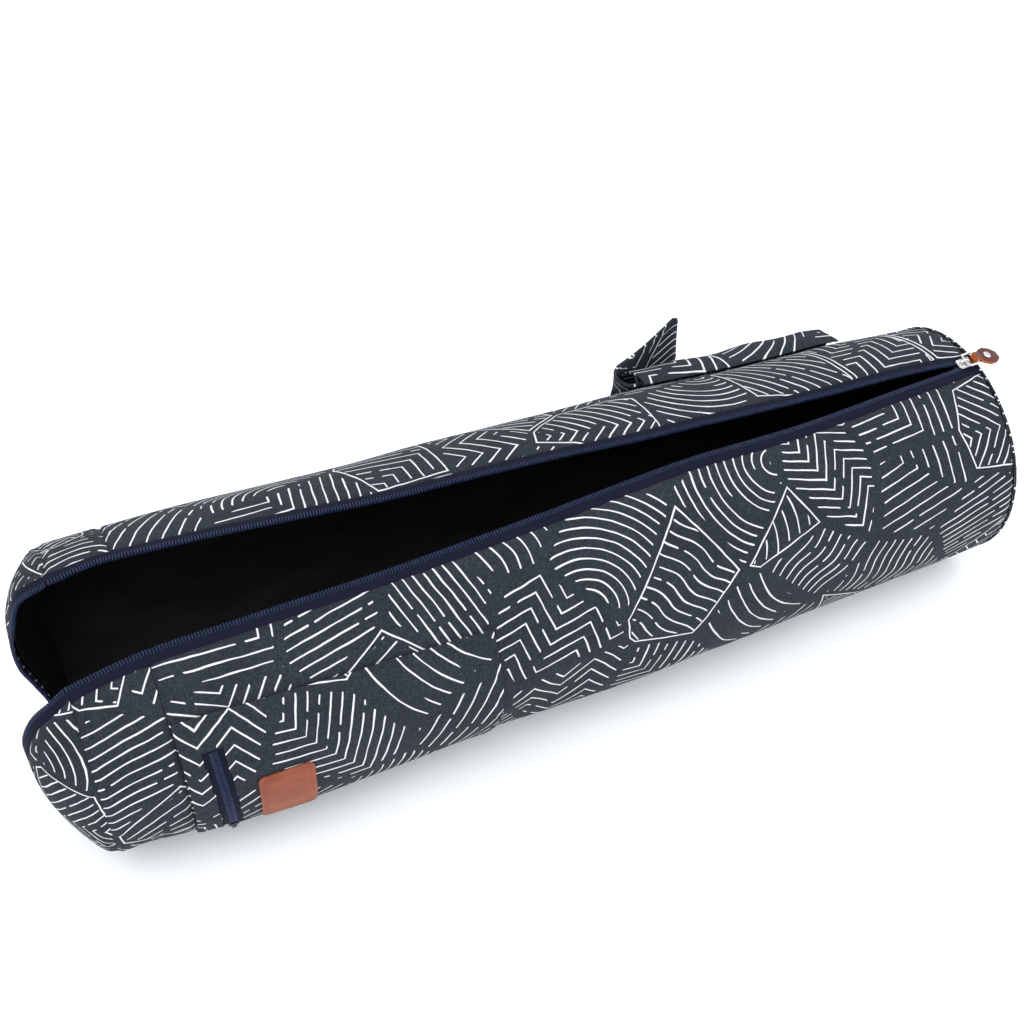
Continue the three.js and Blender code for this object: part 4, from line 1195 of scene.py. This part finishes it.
def pocket_bottom_of_zip():
    return POCKET_ZIP["top"] - np.degrees(POCKET_ZIP["length"] / sizes().open_radius)


def pocket_zip_middle(angle):
    """The pocket's zip leans: its upper end lies nearer the open end."""
    down = (POCKET_ZIP["top"] - angle) / (POCKET_ZIP["top"] - pocket_bottom_of_zip())
    return band_seam() + POCKET_ZIP["from_seam"] - 4.8 + 4.2 * down


def band_seam():
    return -sizes().tube_length / 2 + sizes().band_length


class MATBAG_OT_front_pocket(Piece, bpy.types.Operator):
    """Printed pocket panel with a window for its zip"""

    bl_idname = "matbag.front_pocket"
    bl_label = "Front pocket"

    def execute(self, context):
        s = sizes()
        low = band_seam() + 1
        high = band_seam() + POCKET["length"]
        half = POCKET_ZIP["tape"] / 2 - 0.4
        top, bottom = POCKET_ZIP["top"], pocket_bottom_of_zip()

        def at(u, v):
            x = low + (high - low) * u
            upper = POCKET["top"] + (POCKET["top_far"] - POCKET["top"]) * u
            return x, upper + (POCKET["bottom"] - upper) * v

        def surface(u, v):
            x, angle = at(u, v)
            arc = np.radians(angle) * s.open_radius
            upper = np.radians(POCKET["top"] - angle) * s.open_radius
            dip = 0.45 * seam_dip(upper, x) + 0.45 * seam_dip(high - x, arc) + 0.5 * seam_dip(x - low, arc)
            window = np.maximum(np.abs(x - pocket_zip_middle(angle)) - half, 0)
            near = np.exp(-((window / 4) ** 2)) * ((angle < top + 3) & (angle > bottom - 3))
            held = np.sin(pi * u) * np.sin(pi * np.clip(v * 1.3, 0, 1))
            slack = 1.1 * held * (0.6 + 0.4 * np.sin(u * 5 + v * 3))
            # A row of thread inside the upper and far edges draws a groove
            rim = np.minimum(upper, high - x)
            groove = -0.55 * np.exp(-(((rim - 3.2) / 1.0) ** 2))
            slack = slack * (1 - near) + 0.35 * near
            lift = POCKET["lift"] + POCKET["cloth"] + np.clip(dip, -0.6, 1) + slack + groove
            return on_tube(x, angle, lift)

        def chart(u, v):
            x, angle = at(u, v)
            return x + 231, np.radians(angle) * s.open_radius - 53

        ob = cloth("Pocket panel", 200, 150, surface, chart)
        self.cut_window(ob, half, top, bottom)
        finish(ob, material("canvas"), POCKET["cloth"], nodes=["pocket_panel"])
        return {"FINISHED"}

    def cut_window(self, ob, half, top, bottom):
        """Takes out the faces where the zip stands, by their place."""
        mesh = bmesh.new()
        mesh.from_mesh(ob.data)
        gone = []
        for f in mesh.faces:
            x, y, z = f.calc_center_median() / MM
            up = z - radius_at(np.array(x)) + sizes().floor_press
            angle = np.degrees(np.arctan2(up, drift_at(np.array(x)) - y))
            if abs(x - pocket_zip_middle(angle)) < half and bottom < angle < top:
                gone.append(f)
        bmesh.ops.delete(mesh, geom=gone, context="FACES")
        mesh.to_mesh(ob.data)
        mesh.free()


class MATBAG_OT_pocket_zip(Piece, bpy.types.Operator):
    """Closed zip of the pocket, with its slider"""

    bl_idname = "matbag.pocket_zip"
    bl_label = "Pocket zip"

    def execute(self, context):
        s = sizes()
        top, bottom = POCKET_ZIP["top"] - 0.3, pocket_bottom_of_zip() + 0.3
        arc = np.radians(top - bottom) * s.open_radius

        def tape(u, v):
            angle = top + (bottom - top) * v
            x = pocket_zip_middle(angle) + (u - 0.5) * (POCKET_ZIP["tape"] + 1.6)
            ridge = 0.35 * np.exp(-(((u - 0.5) * POCKET_ZIP["tape"] / 2.2) ** 2))
            return on_tube(x, angle, POCKET["lift"] + 0.75 + ridge)

        ob = cloth("Pocket zip tape", 30, 90, tape, lambda u, v: (v * arc, u * POCKET_ZIP["tape"]))
        finish(ob, material("tape"), 0.6, nodes=["pocket_zip_tape"])
        count = int(arc / 1.7)
        angle = np.linspace(top - 1, bottom + 1, count)
        a = np.radians(angle)
        out = np.stack([0 * a, -np.cos(a), np.sin(a)], -1)
        down = np.stack([0 * a, -np.sin(a), -np.cos(a)], -1)
        places = []
        for sign in (-1, 1):
            staggered = angle + (0.45 if sign > 0 else 0)
            at = on_tube(pocket_zip_middle(angle) + sign * 1.3, staggered, POCKET["lift"] + 1.75)
            x = unit(np.array([1, 0, 0]) + down * 0.3 * sign)
            y = unit(np.cross(out, x))
            places += [place(*row) for row in zip(x, y, out, at)]
        teeth = copies("Pocket zip coil", bar(3.0, 1.1, 1.4), places)
        finish(teeth, material("coil"), nodes=["pocket_zip_coil"], smooth=60)
        self.slider(bottom)
        return {"FINISHED"}

    def slider(self, bottom):
        angle = bottom + np.degrees(8 / sizes().open_radius)
        middle = pocket_zip_middle(angle)
        a = radians(angle)
        at = on_tube(np.array(middle), np.array(angle), 0)
        spot = place((1, 0, 0), (0, sin(a), cos(a)), (0, -cos(a), sin(a)), at)
        top = block((6.4, 8, 1.0), (0, 0, 3.9), 0.4)
        sides = [block((0.9, 7.4, 1.6), (x, 0, 2.9), 0.25) for x in (-2.9, 2.9)]
        pull = block((3, 12.5, 1.0), (0, -5.6, 5.0), 0.35)
        ob = joined("Pocket slider", [top, pull, *sides])
        set_down(ob, spot)
        finish(ob, material("painted metal"), nodes=["pocket_slider"], smooth=35)


PATCH = {"from_seam": 57.8, "length": 34, "height": 50, "top": 0.8, "corner": 4, "leather": 1.5}


class MATBAG_OT_leather_patch(Piece, bpy.types.Operator):
    """Bare tan leather patch with a stitched border"""

    bl_idname = "matbag.leather_patch"
    bl_label = "Leather patch"

    def execute(self, context):
        s = sizes()
        middle = band_seam() + PATCH["from_seam"]
        lift = POCKET["lift"] + POCKET["cloth"] + 0.75

        def on_patch(across, down, out):
            angle = PATCH["top"] - np.degrees(down / s.open_radius)
            return on_tube(middle + across, angle, lift + out)

        def surface(u, v):
            down = v * PATCH["height"]
            into = np.maximum(0, PATCH["corner"] - np.minimum(down, PATCH["height"] - down))
            cut = PATCH["corner"] - np.sqrt(np.maximum(PATCH["corner"] ** 2 - into**2, 0))
            half = PATCH["length"] / 2 - cut
            across = (u - 0.5) * 2 * half
            rim = np.minimum(half - np.abs(across), np.minimum(down, PATCH["height"] - down))
            # The edge is rounded and the stitch line pulls a shallow groove
            edge = -0.5 * np.exp(-((rim / 0.7) ** 2)) - 0.5 * np.exp(-(((rim - 2.6) / 1.0) ** 2))
            return on_patch(across, down, PATCH["leather"] + edge)

        ob = cloth("Leather patch", 68, 94, surface, lambda u, v: (u * PATCH["length"], v * PATCH["height"]))
        finish(ob, material("patch"), PATCH["leather"], nodes=["leather_patch"])
        self.stitches(on_patch)
        return {"FINISHED"}

    def stitches(self, on_patch):
        inset = 2.6
        w = PATCH["length"] - 2 * inset
        h = PATCH["height"] - 2 * inset
        pitch = 3.0
        spots = []
        for k in range(int(w / pitch)):
            for down in (inset, inset + h):
                spots.append(((k + 0.5) * w / int(w / pitch) - w / 2, down, 1, 0))
        for k in range(int(h / pitch)):
            for across in (-w / 2, w / 2):
                spots.append((across, inset + (k + 0.5) * h / int(h / pitch), 0, 1))
        places = []
        for across, down, dx, dy in spots:
            a = on_patch(np.array(across - dx), np.array(down - dy), 1.45)
            b = on_patch(np.array(across + dx), np.array(down + dy), 1.45)
            c = on_patch(np.array(across), np.array(down), 3.3)
            x = unit(b - a)
            z = unit(c - (a + b) / 2)
            places.append(place(x, np.cross(z, x), z, (a + b) / 2))
        ob = copies("Patch stitches", bar(2.2, 0.9, 0.8), places)
        finish(ob, material("thread"), smooth=60)


TUNNEL = {"from_end": 77, "length": 145, "front": 129, "back": 161, "lift": 14.2, "slant": 2}


class MATBAG_OT_strap_tunnel(Piece, bpy.types.Operator):
    """Cloth tunnel on the back shoulder that holds one end of the strap"""

    bl_idname = "matbag.strap_tunnel"
    bl_label = "Strap tunnel"

    def execute(self, context):
        s = sizes()
        far = s.tube_length / 2 - TUNNEL["from_end"]

        def surface(u, v):
            x = far + 14 - (TUNNEL["length"] + 14 + TUNNEL["slant"] * u) * v**1.35
            angle = TUNNEL["front"] + (TUNNEL["back"] - TUNNEL["front"]) * u
            v = v**1.35
            blunt = np.minimum(1, v / 0.022) ** 0.5 * (0.86 + 0.14 * np.minimum(1, v / 0.12))
            rise = np.sin(pi * u) ** 0.75 * blunt
            # Gathers near the sewn end and a slack ripple towards the mouth
            gather = 0.9 * np.exp(-((v / 0.2) ** 2)) * np.sin(u * 26) * np.sin(pi * u)
            ripple = 0.8 * np.sin(v * 17 + 3 * u) * np.sin(pi * u) * np.clip(v * 3, 0, 1)
            lift = 0.6 + TUNNEL["lift"] * rise + s.canvas + gather + ripple
            return on_tube(x, angle, lift)

        def chart(u, v):
            return v * TUNNEL["length"] + 55, u * 66 + 410

        ob = cloth("Strap tunnel", 60, 110, surface, chart)
        finish(ob, material("canvas"), s.canvas, nodes=["strap_tunnel"])
        return {"FINISHED"}


STRAP = {"angle": 144, "hidden": 34, "sewn_x": -250, "sewn_angles": (184, 177, 169)}


class MATBAG_OT_shoulder_strap(Piece, bpy.types.Operator):
    """Printed strap: out of the tunnel, folded up, down behind the bag and along the floor"""

    bl_idname = "matbag.shoulder_strap"
    bl_label = "Shoulder strap"

    def execute(self, context):
        s = sizes()
        places, ways = self.route()
        t = np.linspace(0, 1, 900)
        line = smooth_curve(places, t)
        way = unit(smooth_curve(ways, t))
        run = np.r_[0, np.cumsum(np.linalg.norm(np.diff(line, axis=0), axis=1))]
        along = unit(np.gradient(line, axis=0))
        out = unit(np.cross(along, way))

        def surface(u, v):
            at = v[0] * run[-1]
            pick = lambda rows: np.stack([np.interp(at, run, rows[:, k]) for k in range(3)], -1)
            p, w, n = pick(line), unit(pick(way)), unit(pick(out))
            across = (u - 0.5) * s.strap_width
            rim = s.strap_width / 2 - np.abs(across)
            plump = 0.25 * np.exp(-((rim / 2.2) ** 2)) - 0.35 * np.exp(-(((rim - 3.4) / 0.9) ** 2))
            wave = 0.3 * np.sin(v * run[-1] / 17 + u * 2)
            lift = s.strap_cloth / 2 - 0.25 + plump + wave
            return p[None] + w[None] * across[..., None] + n[None] * lift[..., None]

        chart = lambda u, v: (v * run[-1] + 333, u * s.strap_width + 611)
        ob = cloth("Shoulder strap", 36, 620, surface, chart)
        turn_over(ob)
        finish(ob, material("canvas"), s.strap_cloth - 0.4, nodes=["shoulder_strap"])
        return {"FINISHED"}

    def route(self):
        s = sizes()
        lift = s.strap_cloth / 2 + 0.6
        far = s.tube_length / 2 - TUNNEL["from_end"]
        a = radians(STRAP["angle"])
        places, ways = [], []
        for share_in in (0, 0.25, 0.5, 0.75, 1):
            x = far - STRAP["hidden"] + (4 - TUNNEL["length"] + STRAP["hidden"]) * share_in
            places.append(on_tube(np.array(x), np.array(STRAP["angle"]), lift))
            ways.append(np.array([0, sin(a), cos(a)]))
        scale = np.array([s.tube_length / 2, s.open_radius, s.open_radius])
        for row in STRAP_RUN:
            places.append(np.array([row["x"], row["y"], row["z"]]) * scale)
            ways.append(unit(np.array([row["wx"], row["wy"], row["wz"]], dtype=float)))
        for angle in STRAP["sewn_angles"]:
            edges = [STRAP["sewn_x"] + k * s.strap_width / 2 for k in (1, -1)]
            ends = [on_tube(np.array(x), np.array(float(angle)), lift) for x in edges]
            places.append((ends[0] + ends[1]) / 2)
            ways.append(unit(ends[1] - ends[0]))
        return np.array(places), np.array(ways)


# Stage

CAMERA = {"at": (-0.31785, -0.628875, 0.839575), "down": 45.2, "turn": -24.8, "lens": 52.73}


class MATBAG_OT_stage(Piece, bpy.types.Operator):
    """Pale floor, soft light and the camera"""

    bl_idname = "matbag.stage"
    bl_label = "Stage"

    def execute(self, context):
        scene = context.scene
        camera = bpy.data.objects.new("Camera", bpy.data.cameras.new("Camera"))
        scene.collection.objects.link(camera)
        camera.location = CAMERA["at"]
        camera.rotation_euler = (radians(CAMERA["down"]), 0, radians(CAMERA["turn"]))
        camera.data.lens = CAMERA["lens"]
        camera.data.sensor_width = 36
        camera.data.clip_start = 0.01
        scene.camera = camera
        bpy.ops.object.select_all(action="DESELECT")
        bpy.ops.mesh.primitive_plane_add(size=16)
        floor = context.object
        floor.name = "floor"
        n = Nodes("Floor")
        at = n.add("ShaderNodeTexCoord").outputs["Object"]
        tone = n.between(n.noise(at, 3.0, 2.0), 0.3, 0.7, 0.0, 0.25)
        # The floor glows faintly with its own emission, painted light that keeps the shadows on it faint
        n.shader.inputs["Emission Color"].default_value = (0.97, 0.98, 1.0, 1)
        n.shader.inputs["Emission Strength"].default_value = 0.11
        pale = n.mix(tone, tuple(colours().floor), (0.975, 0.975, 0.98, 1))
        floor.data.materials.append(n.finish(pale, 0.9))
        self.light("Key", (-0.9, -0.9, 2.2), 1.5, 26, (1.0, 0.99, 0.97))
        self.light("Fill", (1.6, -1.2, 1.6), 2.2, 14, (0.95, 0.97, 1.0))
        self.light("Back", (0.6, 1.8, 1.9), 2.0, 10, (0.94, 0.97, 1.0))
        world = bpy.data.worlds.new("Studio")
        scene.world = world
        world.use_nodes = True
        world.node_tree.nodes["Background"].inputs["Color"].default_value = (0.93, 0.96, 1.0, 1)
        world.node_tree.nodes["Background"].inputs["Strength"].default_value = 1.02
        scene.view_settings.view_transform = "Standard"
        return {"FINISHED"}

    def light(self, name, at, size, power, tint):
        data = bpy.data.lights.new(name, "AREA")
        data.size = size
        data.energy = power
        data.color = tint
        ob = bpy.data.objects.new(name, data)
        bpy.context.scene.collection.objects.link(ob)
        ob.location = at
        aim = Vector((0, 0, 0.08)) - Vector(at)
        ob.rotation_euler = aim.to_track_quat("-Z", "Y").to_euler()


class MATBAG_PT_panel(bpy.types.Panel):
    """Lists the bag's pieces and sizes"""

    bl_label = "Yoga mat bag"
    bl_idname = "MATBAG_PT_panel"
    bl_space_type = "VIEW_3D"
    bl_region_type = "UI"
    bl_category = "Mat bag"

    def draw(self, context):
        for operator in OPERATORS:
            self.layout.operator(operator.bl_idname)
        for group in (context.scene.matbag_sizes, context.scene.matbag_colours):
            for key in group.__annotations__:
                self.layout.prop(group, key)


OPERATORS = (
    MATBAG_OT_stage,
    MATBAG_OT_canvas_tube,
    MATBAG_OT_open_end,
    MATBAG_OT_closed_end,
    MATBAG_OT_lining,
    MATBAG_OT_long_zip,
    MATBAG_OT_zip_slider,
    MATBAG_OT_pull_tab,
    MATBAG_OT_front_pocket,
    MATBAG_OT_pocket_zip,
    MATBAG_OT_leather_patch,
    MATBAG_OT_strap_tunnel,
    MATBAG_OT_shoulder_strap,
)
CLASSES = (MATBAG_PG_sizes, MATBAG_PG_colours, *OPERATORS, MATBAG_PT_panel)


def register():
    for cls in CLASSES:
        bpy.utils.register_class(cls)
    bpy.types.Scene.matbag_sizes = bpy.props.PointerProperty(type=MATBAG_PG_sizes)
    bpy.types.Scene.matbag_colours = bpy.props.PointerProperty(type=MATBAG_PG_colours)


def unregister():
    del bpy.types.Scene.matbag_colours
    del bpy.types.Scene.matbag_sizes
    for cls in reversed(CLASSES):
        bpy.utils.unregister_class(cls)


def main():
    register()
    bpy.ops.matbag.stage()
    bpy.ops.matbag.canvas_tube()
    bpy.ops.matbag.open_end()
    bpy.ops.matbag.closed_end()
    bpy.ops.matbag.lining()
    bpy.ops.matbag.long_zip()
    bpy.ops.matbag.zip_slider()
    bpy.ops.matbag.pull_tab()
    bpy.ops.matbag.front_pocket()
    bpy.ops.matbag.pocket_zip()
    bpy.ops.matbag.leather_patch()
    bpy.ops.matbag.strap_tunnel()
    bpy.ops.matbag.shoulder_strap()


if __name__ == "__main__":
    main()
